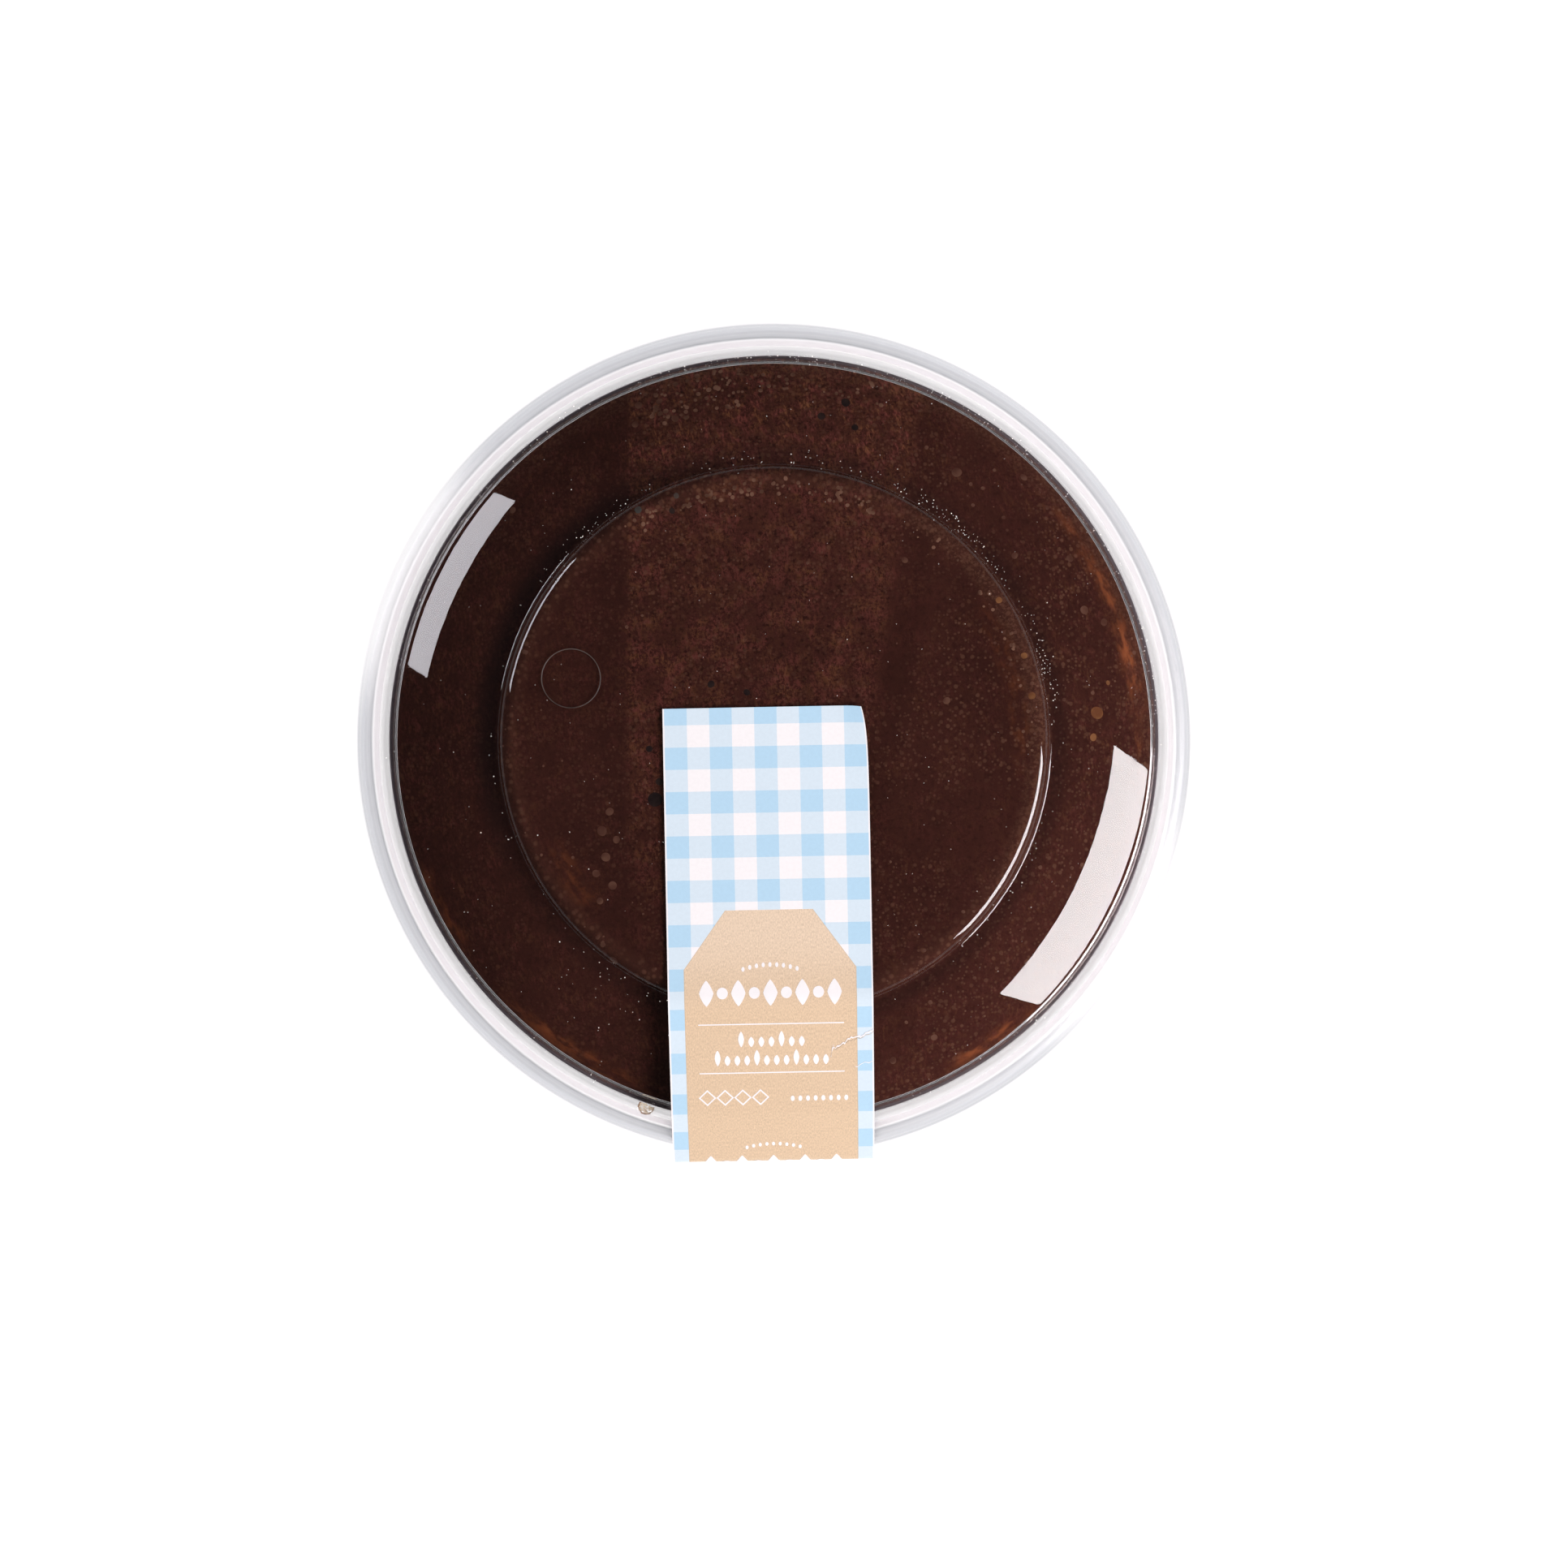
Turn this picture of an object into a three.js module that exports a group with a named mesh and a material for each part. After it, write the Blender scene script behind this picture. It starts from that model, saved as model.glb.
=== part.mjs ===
// A tub of chocolate mousse: a clear round bowl, a clear two-tier lid pressed onto it,
// the dark mousse that fills both, and a paper strip that runs from the middle of the lid
// over the rim and down the front of the bowl.
// Millimetres, +Z up, origin at the middle of the flat base. The paper strip is at -Y.

import * as THREE from 'three';
import { mergeVertices } from 'three/addons/utils/BufferGeometryUtils.js';

// Plastic and paper
const WALL = 0.5;                // thickness of the bowl and the lid
const GAP = 0.3;                 // room kept between neighbouring pieces
const PAPER = 0.3;               // thickness of the paper strip

// Bowl, from the axis outwards
const FOOT_RADIUS = 55.15;       // flat disc that the tub stands on
const FOOT_BEND = 5;             // radius of the turn from the base into the wall
const WALL_LOW_SLOPE = 28;       // degrees above level where the wall starts
const WALL_BEND = 53.4;          // radius of the wall's long curve
const WALL_HIGH_SLOPE = 71;      // degrees above level where the wall meets the flange
const BOWL_FLANGE_RADIUS = 84.3;
const BOWL_FLANGE_BEND = 0.5;

// Lid, from the axis outwards
const LID_RISE = 12.6;           // plateau above the lid's flange
const PLATEAU_FLAT_RADIUS = 54;
const PLATEAU_BEND = 3.4;        // rounded edge of the plateau
const PLATEAU_EDGE_SLOPE = 65;   // degrees below level at its steepest
const PLATEAU_FOOT_BEND = 1.3;
const SHOULDER_START_SLOPE = 10;
const SHOULDER_BEND = 57.4;      // radius of the shoulder's long curve
const SHOULDER_END_SLOPE = 33;
const SMALL_BEND = 1;            // rounded outer corners near the rim
const TIGHT_BEND = 0.5;          // hollow corners near the rim
const PLUG_SLOPE = 75;           // wall that drops into the groove inside the bowl's mouth
const PLUG_DEPTH = 0.7;
const GROOVE_FLOOR = 0.35;
const GROOVE_OUTER_SLOPE = -50;  // the groove's outer wall climbs back to the flange
const LID_FLANGE_RADIUS = 84.4;
const SKIRT_SLOPE = 58;
const SKIRT_DEPTH = 2.8;
const RIM_RADIUS = 88.4;         // outer edge of the lid's lip

// Paper strip
const STRIP_WIDTH = 42.5;
const STRIP_START = 6.9;         // its end lies this far behind the axis
const STRIP_SIDE = -1.7;         // its middle line passes the axis on this side
const STRIP_TURN = 1.1;          // degrees it is stuck on askew
const STRIP_FIRST_SLOPE = 19.2;  // from the plateau's edge over the shoulder
const STRIP_FIRST_BEND = 6;
const STRIP_SECOND_START = 77.3;
const STRIP_SECOND_SLOPE = 33;   // over the flange and down to the lip
const STRIP_FOLD_BEND = 1.6;
const STRIP_END_HEIGHT = 5;      // lower end on the bowl's wall
const STRIP_COLUMNS = 8;

const ROUND_SEGMENTS = 52;

const radians = THREE.MathUtils.degToRad;

// An outline in the plane of distance from the axis (x) and height (y). A slope is in
// degrees below level, as seen when walking away from the axis.
class Outline {
  constructor(x, y) {
    this.points = [new THREE.Vector2(x, y)];
    this.slope = 0;
  }

  get end() {
    return this.points.at(-1);
  }

  lineToRadius(x) {
    const drop = (x - this.end.x) * Math.tan(radians(this.slope));
    this.points.push(new THREE.Vector2(x, this.end.y - drop));
    return this;
  }

  lineToHeight(y) {
    const run = (this.end.y - y) / Math.tan(radians(this.slope));
    this.points.push(new THREE.Vector2(this.end.x + run, y));
    return this;
  }

  bend(radius, slope, steps) {
    const first = radians(this.slope);
    const turn = radians(slope - this.slope);
    const side = Math.sign(turn);
    const start = this.end.clone();
    for (let step = 1; step <= steps; step++) {
      const angle = first + (turn * step) / steps;
      this.points.push(new THREE.Vector2(
        start.x + side * radius * (Math.sin(angle) - Math.sin(first)),
        start.y + side * radius * (Math.cos(angle) - Math.cos(first)),
      ));
    }
    this.slope = slope;
    return this;
  }
}

// The same outline moved sideways: a positive distance moves it to the left of its path.
function offsetOutline(points, distance) {
  return points.map((point, i) => {
    const before = points[Math.max(i - 1, 0)];
    const after = points[Math.min(i + 1, points.length - 1)];
    const arriving = point.clone().sub(before).normalize();
    const leaving = after.clone().sub(point).normalize();
    const along = arriving.clone().add(leaving).normalize();
    const straight = i === 0 ? leaving : arriving;
    const mitre = distance / along.dot(straight);
    return new THREE.Vector2(point.x - along.y * mitre, point.y + along.x * mitre);
  });
}

// Turns a closed half outline round the Z axis. It has to run so that the solid lies on its left.
function turned(outline) {
  const geometry = new THREE.LatheGeometry(outline, ROUND_SEGMENTS);
  return geometry.rotateX(Math.PI / 2);
}

// Bowl: one skin of even thickness from the axis to the edge of its flange
const bowlWall = new Outline(0, 0)
  .lineToRadius(FOOT_RADIUS)
  .bend(FOOT_BEND, -WALL_LOW_SLOPE, 2)
  .bend(WALL_BEND, -WALL_HIGH_SLOPE, 7);
const bowlWallTop = bowlWall.points.length;
const bowlSkin = bowlWall
  .bend(BOWL_FLANGE_BEND, 0, 2)
  .lineToRadius(BOWL_FLANGE_RADIUS)
  .points;
const bowlInside = offsetOutline(bowlSkin, WALL);
const bowlOutline = [...bowlSkin, ...bowlInside.toReversed()];

// Lid: its flange rests just above the bowl's, and its groove plugs the bowl's mouth
const flangeTop = bowlInside.at(-1).y + GAP + WALL;
const plateauTop = flangeTop + LID_RISE;
const flangeBendRise = SMALL_BEND * (1 - Math.cos(radians(GROOVE_OUTER_SLOPE)));
const lidShoulder = new Outline(0, plateauTop)
  .lineToRadius(PLATEAU_FLAT_RADIUS)
  .bend(PLATEAU_BEND, PLATEAU_EDGE_SLOPE, 4)
  .bend(PLATEAU_FOOT_BEND, SHOULDER_START_SLOPE, 2)
  .bend(SHOULDER_BEND, SHOULDER_END_SLOPE, 5);
const shoulderEnd = lidShoulder.points.length;
const lidGroove = lidShoulder
  .bend(SMALL_BEND, PLUG_SLOPE, 2)
  .lineToHeight(flangeTop - PLUG_DEPTH)
  .bend(TIGHT_BEND, 0, 2);
const grooveFloor = lidGroove.end.y;
const grooveStart = lidGroove.end.x;
const lidSkin = lidGroove
  .lineToRadius(grooveStart + GROOVE_FLOOR)
  .bend(TIGHT_BEND, GROOVE_OUTER_SLOPE, 2)
  .lineToHeight(flangeTop - flangeBendRise)
  .bend(SMALL_BEND, 0, 2)
  .lineToRadius(LID_FLANGE_RADIUS)
  .bend(SMALL_BEND, SKIRT_SLOPE, 2)
  .lineToHeight(flangeTop - SKIRT_DEPTH)
  .bend(TIGHT_BEND, 0, 2)
  .lineToRadius(RIM_RADIUS)
  .points;
const lidInside = offsetOutline(lidSkin, -WALL);
const lidOutline = [...lidInside, ...lidSkin.toReversed()];

// Mousse: fills the lid's dome and the bowl, and ends level under the groove
const mousseTop = offsetOutline(lidSkin, -WALL - GAP).slice(0, shoulderEnd);
const underGroove = grooveFloor - WALL - GAP;
const mousseWall = offsetOutline(bowlSkin, WALL + GAP)
  .slice(0, bowlWallTop)
  .filter((point) => point.y < underGroove - GAP);
const edgeRun = (underGroove - mousseWall.at(-1).y) / Math.tan(radians(WALL_HIGH_SLOPE));
const mousseOutline = [
  ...mousseWall,
  new THREE.Vector2(mousseWall.at(-1).x + edgeRun, underGroove),
  new THREE.Vector2(mousseTop.at(-1).x, underGroove),
  ...mousseTop.toReversed(),
];

// Paper strip: flat on the plateau, straight over shoulder and flange, and folded over the lip
const stripOver = new Outline(-STRIP_START, plateauTop + GAP)
  .lineToRadius(PLATEAU_FLAT_RADIUS)
  .bend(STRIP_FIRST_BEND, STRIP_FIRST_SLOPE, 3)
  .lineToRadius(STRIP_SECOND_START)
  .bend(STRIP_FIRST_BEND, STRIP_SECOND_SLOPE, 2)
  .lineToRadius(RIM_RADIUS);

// From the fold it runs straight to the bowl's wall. The line touches both the small circle
// of the fold and the large one that the strip follows down the wall.
const wallCentre = new THREE.Vector2(
  FOOT_RADIUS + (FOOT_BEND - WALL_BEND) * Math.sin(radians(WALL_LOW_SLOPE)),
  FOOT_BEND + (WALL_BEND - FOOT_BEND) * Math.cos(radians(WALL_LOW_SLOPE)),
);
const stripWallBend = WALL_BEND + GAP;
const foldCentre = new THREE.Vector2(
  stripOver.end.x - STRIP_FOLD_BEND * Math.sin(radians(STRIP_SECOND_SLOPE)),
  stripOver.end.y - STRIP_FOLD_BEND * Math.cos(radians(STRIP_SECOND_SLOPE)),
);
const centres = wallCentre.clone().sub(foldCentre);
const swing = Math.asin((stripWallBend - STRIP_FOLD_BEND) / centres.length());
const touchSlope = 360 - THREE.MathUtils.radToDeg(centres.angle() + swing);
const touchHeight = wallCentre.y + stripWallBend * Math.cos(radians(touchSlope));
const endRise = Math.acos((wallCentre.y - STRIP_END_HEIGHT) / stripWallBend);
const endSlope = 180 - THREE.MathUtils.radToDeg(endRise);

const foldFirst = stripOver.points.length - 1;
stripOver
  .bend(STRIP_FOLD_BEND, touchSlope, 5)
  .lineToHeight(touchHeight);
const wallFirst = stripOver.points.length - 1;
const stripPath = stripOver
  .bend(stripWallBend, endSlope, 3)
  .points;
const stripOutside = offsetOutline(stripPath, PAPER);

// Bends a flat box along the path. Past the fold it curls round the bowl more and more.
function bentStrip() {
  const rows = stripPath.length - 1;
  const geometry = new THREE.BoxGeometry(STRIP_WIDTH, 1, 1, STRIP_COLUMNS, rows, 1);
  geometry.deleteAttribute('normal');
  geometry.deleteAttribute('uv');
  const position = geometry.attributes.position;
  for (let i = 0; i < position.count; i++) {
    const across = position.getX(i);
    const row = Math.round((0.5 - position.getY(i)) * rows);
    const face = position.getZ(i) > 0 ? stripOutside : stripPath;
    const { x: radius, y: height } = face[row];
    const curl = THREE.MathUtils.clamp((row - foldFirst) / (wallFirst - foldFirst), 0, 1);
    const sag = radius - Math.sqrt(radius * radius - across * across);
    position.setXYZ(i, across, curl > 0 ? curl * sag - radius : -radius, height);
  }
  geometry.translate(STRIP_SIDE, 0, 0);
  return mergeVertices(geometry);
}

const materials = {
  clear: new THREE.MeshStandardMaterial({
    color: 0xe9edf0, roughness: 0.06, metalness: 0, transparent: true, opacity: 0.35,
  }),
  mousse: new THREE.MeshStandardMaterial({ color: 0x3a1f19, roughness: 0.5, metalness: 0 }),
  paper: new THREE.MeshStandardMaterial({ color: 0xdcc9ae, roughness: 0.7, metalness: 0 }),
};

const tub = new THREE.Group();

function addPiece(name, geometry, material) {
  const piece = new THREE.Mesh(geometry, material);
  piece.name = name;
  tub.add(piece);
  return piece;
}

addPiece('bowl', turned(bowlOutline), materials.clear);
addPiece('lid', turned(lidOutline), materials.clear);
addPiece('mousse', turned(mousseOutline), materials.mousse);
addPiece('strip', bentStrip(), materials.paper).rotation.z = radians(STRIP_TURN);

export default tub;
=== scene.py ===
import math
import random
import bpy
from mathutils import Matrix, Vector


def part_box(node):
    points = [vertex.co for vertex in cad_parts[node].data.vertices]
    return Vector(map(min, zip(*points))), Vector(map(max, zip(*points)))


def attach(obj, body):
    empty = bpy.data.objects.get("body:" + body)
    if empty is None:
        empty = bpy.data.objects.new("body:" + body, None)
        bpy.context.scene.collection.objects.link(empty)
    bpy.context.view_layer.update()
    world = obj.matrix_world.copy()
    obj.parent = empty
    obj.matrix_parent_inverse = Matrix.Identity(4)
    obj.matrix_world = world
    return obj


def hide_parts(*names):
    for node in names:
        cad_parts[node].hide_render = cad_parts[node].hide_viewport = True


bl_info = {
    "name": "Chocolate mousse tub",
    "version": (1, 0, 0),
    "blender": (4, 5, 0),
    "location": "View3D > Sidebar > Mousse tub",
    "description": "Models a shut clear tub of chocolate mousse with its lid and folded paper strip",
    "category": "Add Mesh",
}

import bpy
import numpy as np
from bpy.props import FloatProperty, FloatVectorProperty, IntProperty, PointerProperty
from mathutils import Matrix, Vector

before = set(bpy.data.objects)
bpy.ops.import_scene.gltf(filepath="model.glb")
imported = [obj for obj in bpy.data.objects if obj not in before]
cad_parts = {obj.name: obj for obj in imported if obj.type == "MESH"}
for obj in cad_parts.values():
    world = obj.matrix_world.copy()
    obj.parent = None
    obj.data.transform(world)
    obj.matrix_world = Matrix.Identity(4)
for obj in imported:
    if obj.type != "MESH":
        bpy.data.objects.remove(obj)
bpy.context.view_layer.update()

# Lengths are in millimetres, angles in degrees, and MM turns a length into Blender's metres.
MM = 0.001
BODY = "root"
LID_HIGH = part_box("lid")[1] / MM
BOWL_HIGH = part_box("bowl")[1] / MM
STRIP_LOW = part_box("strip")[0] / MM
PLATEAU_TOP = LID_HIGH.z
RIM_RADIUS = LID_HIGH.x
CLEAR_SLOT = "clear_plastic"
MOUSSE_SLOT = "mousse"
PAPER_SLOT = "paper"

# Lid section, from the axis outwards
LID_RISE = 12.6
FLANGE_TOP = PLATEAU_TOP - LID_RISE
PLATEAU_FLAT = 54.0
PLATEAU_BEND = 3.4
PLATEAU_EDGE_SLOPE = 65.0
PLATEAU_FOOT_BEND = 1.3
SHOULDER_START_SLOPE = 10.0
SHOULDER_BEND = 57.4
SHOULDER_END_SLOPE = 33.0
SMALL_BEND = 1.0
TIGHT_BEND = 0.5
PLUG_SLOPE = 75.0
PLUG_DEPTH = 0.7
GROOVE_FLOOR = 0.35
GROOVE_OUTER_SLOPE = -50.0
LID_FLANGE_RADIUS = 84.4
SKIRT_SLOPE = 58.0
SKIRT_DEPTH = 2.8

# Bowl section, from the axis outwards
FOOT_RADIUS = 55.15
FOOT_BEND = 5.0
WALL_LOW_SLOPE = 28.0
WALL_BEND = 53.4
WALL_HIGH_SLOPE = 71.0
BOWL_FLANGE_RADIUS = BOWL_HIGH.x

# Height at which the mousse meets the bowl, and where it is drawn in below the groove
FILL_HEIGHT = 28.2
GROOVE_START = 79.0
GROOVE_END = 82.0


# Half sections


class Outline:
    """Points of a half section: distance from the axis and height. A slope is in degrees below level."""

    def __init__(self, x, y):
        self.points = [(x, y)]
        self.slope = 0.0

    def line_to_radius(self, x):
        last_x, last_y = self.points[-1]
        drop = (x - last_x) * math.tan(math.radians(self.slope))
        self.points.append((x, last_y - drop))
        return self

    def line_to_height(self, y):
        last_x, last_y = self.points[-1]
        run = (last_y - y) / math.tan(math.radians(self.slope))
        self.points.append((last_x + run, y))
        return self

    def bend(self, radius, slope, steps):
        """Turns to a new slope along a circle of this radius."""
        first = math.radians(self.slope)
        turn = math.radians(slope - self.slope)
        side = math.copysign(1.0, turn)
        start_x, start_y = self.points[-1]
        for step in range(1, steps + 1):
            angle = first + turn * step / steps
            self.points.append((
                start_x + side * radius * (math.sin(angle) - math.sin(first)),
                start_y + side * radius * (math.cos(angle) - math.cos(first)),
            ))
        self.slope = slope
        return self


def offset_outline(points, distance):
    """The same outline moved sideways; a positive distance moves it to the left of its path."""
    moved = []
    for i, point in enumerate(points):
        here = Vector(point)
        before = Vector(points[max(i - 1, 0)])
        after = Vector(points[min(i + 1, len(points) - 1)])
        arriving = (here - before).normalized()
        leaving = (after - here).normalized()
        along = (arriving + leaving).normalized()
        straight = leaving if i == 0 else arriving
        mitre = distance / along.dot(straight)
        moved.append((here.x - along.y * mitre, here.y + along.x * mitre))
    return moved


def lid_section():
    """The lid's upper skin, and how many of its points belong to the plateau and the shoulder."""
    section = (
        Outline(0.0, PLATEAU_TOP)
        .line_to_radius(PLATEAU_FLAT)
        .bend(PLATEAU_BEND, PLATEAU_EDGE_SLOPE, 14)
        .bend(PLATEAU_FOOT_BEND, SHOULDER_START_SLOPE, 9)
        .bend(SHOULDER_BEND, SHOULDER_END_SLOPE, 16)
    )
    shoulder_end = len(section.points)
    flange_bend_rise = SMALL_BEND * (1 - math.cos(math.radians(GROOVE_OUTER_SLOPE)))
    section.bend(SMALL_BEND, PLUG_SLOPE, 6)
    section.line_to_height(FLANGE_TOP - PLUG_DEPTH)
    section.bend(TIGHT_BEND, 0.0, 5)
    section.line_to_radius(section.points[-1][0] + GROOVE_FLOOR)
    section.bend(TIGHT_BEND, GROOVE_OUTER_SLOPE, 5)
    section.line_to_height(FLANGE_TOP - flange_bend_rise)
    section.bend(SMALL_BEND, 0.0, 5)
    section.line_to_radius(LID_FLANGE_RADIUS)
    section.bend(SMALL_BEND, SKIRT_SLOPE, 6)
    section.line_to_height(FLANGE_TOP - SKIRT_DEPTH)
    section.bend(TIGHT_BEND, 0.0, 5)
    section.line_to_radius(RIM_RADIUS)
    return section.points, shoulder_end


def bowl_section():
    """The bowl's lower skin, and how many of its points come before its flange."""
    section = (
        Outline(0.0, 0.0)
        .line_to_radius(FOOT_RADIUS)
        .bend(FOOT_BEND, -WALL_LOW_SLOPE, 8)
        .bend(WALL_BEND, -WALL_HIGH_SLOPE, 26)
    )
    wall_end = len(section.points)
    section.bend(TIGHT_BEND, 0.0, 5)
    section.line_to_radius(BOWL_FLANGE_RADIUS)
    return section.points, wall_end


def height_at(points, radius):
    """Height of an outline at a distance from the axis."""
    xs, ys = zip(*points)
    return float(np.interp(radius, xs, ys))


LID_SKIN, SHOULDER_END = lid_section()
BOWL_SKIN, BOWL_WALL_END = bowl_section()


def mousse_outlines(depth):
    """Top and wall of the mousse, a little way into the plastic that holds it."""
    top = offset_outline(LID_SKIN, -depth)[:SHOULDER_END]
    groove_low = min(z for x, z in LID_SKIN if GROOVE_START < x < GROOVE_END) - depth
    wall = offset_outline(BOWL_SKIN, depth)[:BOWL_WALL_END]
    edge = (float(np.interp(FILL_HEIGHT, [z for x, z in wall], [x for x, z in wall])), FILL_HEIGHT)
    wall = [point for point in wall if point[1] < FILL_HEIGHT - 0.05]
    under_groove = [(top[-1][0] + 0.25, groove_low), (edge[0] - 0.7, groove_low - 0.3)]
    return top, under_groove + [edge] + wall[::-1]


# Modelling helpers


def deselect():
    if bpy.context.mode != "OBJECT":
        bpy.ops.object.mode_set(mode="OBJECT")
    bpy.ops.object.select_all(action="DESELECT")


def select_only(piece):
    deselect()
    piece.select_set(True)
    bpy.context.view_layer.objects.active = piece


def edit_all():
    bpy.ops.object.mode_set(mode="EDIT")
    bpy.ops.mesh.select_all(action="SELECT")


def leave_edit():
    bpy.ops.object.mode_set(mode="OBJECT")


def active_piece(name):
    piece = bpy.context.active_object
    piece.name = name
    piece.data.name = name
    return piece


def turned_piece(name, points, segments):
    """Draws a half section edge by edge from a single point and spins it round the Z axis."""
    deselect()
    bpy.ops.mesh.primitive_plane_add(size=MM, location=(0, 0, 0))
    piece = active_piece(name)
    bpy.ops.object.mode_set(mode="EDIT")
    bpy.ops.mesh.select_mode(type="VERT")
    bpy.ops.mesh.select_all(action="SELECT")
    bpy.ops.mesh.merge(type="CENTER")
    here = Vector((points[0][0], 0.0, points[0][1])) * MM
    bpy.ops.transform.translate(value=here)
    for x, z in points[1:]:
        there = Vector((x, 0.0, z)) * MM
        bpy.ops.mesh.extrude_region_move(TRANSFORM_OT_translate={"value": there - here})
        here = there
    bpy.ops.mesh.select_all(action="SELECT")
    bpy.ops.mesh.spin(steps=segments, angle=math.tau, center=(0, 0, 0), axis=(0, 0, 1))
    bpy.ops.mesh.select_all(action="SELECT")
    bpy.ops.mesh.remove_doubles(threshold=0.002 * MM)
    bpy.ops.mesh.normals_make_consistent(inside=False)
    leave_edit()
    return piece


def face_up(piece, upwards):
    """Turns an open skin so that the face nearest the axis looks up, or down."""
    middle = min(piece.data.polygons, key=lambda f: f.center.x ** 2 + f.center.y ** 2)
    if (middle.normal.z > 0) != upwards:
        piece.data.flip_normals()


def thicken(piece, thickness, offset, even=False):
    """Gives an open skin its thickness, behind the skin with offset -1 and in front of it with 1."""
    solid = piece.modifiers.new("Thickness", "SOLIDIFY")
    solid.thickness = thickness * MM
    solid.offset = offset
    solid.use_even_offset = even
    select_only(piece)
    bpy.ops.object.modifier_apply(modifier=solid.name)


def smooth(piece, angle=35.0):
    select_only(piece)
    bpy.ops.object.shade_smooth_by_angle(angle=math.radians(angle))


def piece_from_arrays(name, vertices, faces):
    mesh = bpy.data.meshes.new(name)
    mesh.from_pydata([tuple(v) for v in vertices], [], faces)
    mesh.validate()
    mesh.update()
    piece = bpy.data.objects.new(name, mesh)
    bpy.context.scene.collection.objects.link(piece)
    return piece


def finish_piece(piece, slot, material, *nodes):
    """Gives a piece its material and body, and hides the solids that it takes the place of. The slot is not
    used.
    """
    piece.data.materials.clear()
    piece.data.materials.append(material)
    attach(piece, BODY)
    if nodes:
        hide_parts(*nodes)


def lump(height, sides, rings):
    """Vertices and faces of a small closed dome of radius 1 with a flat back, round the origin."""
    vertices = [Vector((0.0, 0.0, height))]
    for ring in range(1, rings + 1):
        angle = 0.5 * math.pi * ring / rings
        for side in range(sides):
            around = math.tau * side / sides
            vertices.append(Vector((
                math.sin(angle) * math.cos(around),
                math.sin(angle) * math.sin(around),
                height * math.cos(angle),
            )))
    vertices.append(Vector((0.0, 0.0, -0.3 * height)))
    faces = [(0, 1 + side, 1 + (side + 1) % sides) for side in range(sides)]
    for ring in range(rings - 1):
        low = 1 + ring * sides
        for side in range(sides):
            after = (side + 1) % sides
            faces.append((low + side, low + sides + side, low + sides + after, low + after))
    last = 1 + (rings - 1) * sides
    back = len(vertices) - 1
    faces += [(last + (side + 1) % sides, last + side, back) for side in range(sides)]
    return vertices, faces


class Scatter:
    """Collects copies of small shapes and makes them one piece."""

    def __init__(self):
        self.vertices = []
        self.faces = []

    def add(self, shape, matrix=Matrix.Identity(4)):
        vertices, faces = shape
        first = len(self.vertices)
        self.vertices += [(matrix @ v) * MM for v in vertices]
        self.faces += [tuple(first + i for i in face) for face in faces]

    def piece(self, name):
        return piece_from_arrays(name, self.vertices, self.faces)


def polar(radius, degrees):
    angle = math.radians(degrees)
    return radius * math.cos(angle), radius * math.sin(angle)


def on_surface(points, x, y, sink=0.0):
    """Place and tilt of something that lies on a turned surface."""
    radius = max(math.hypot(x, y), 1e-6)
    step = 0.05
    z = height_at(points, radius)
    rise = (height_at(points, radius + step) - height_at(points, radius - step)) / (2 * step)
    normal = Vector((-rise * x / radius, -rise * y / radius, 1.0)).normalized()
    turn = normal.to_track_quat("Z", "Y").to_matrix().to_4x4()
    return Matrix.Translation(Vector((x, y, z)) - normal * sink) @ turn


# Node helpers


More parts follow.
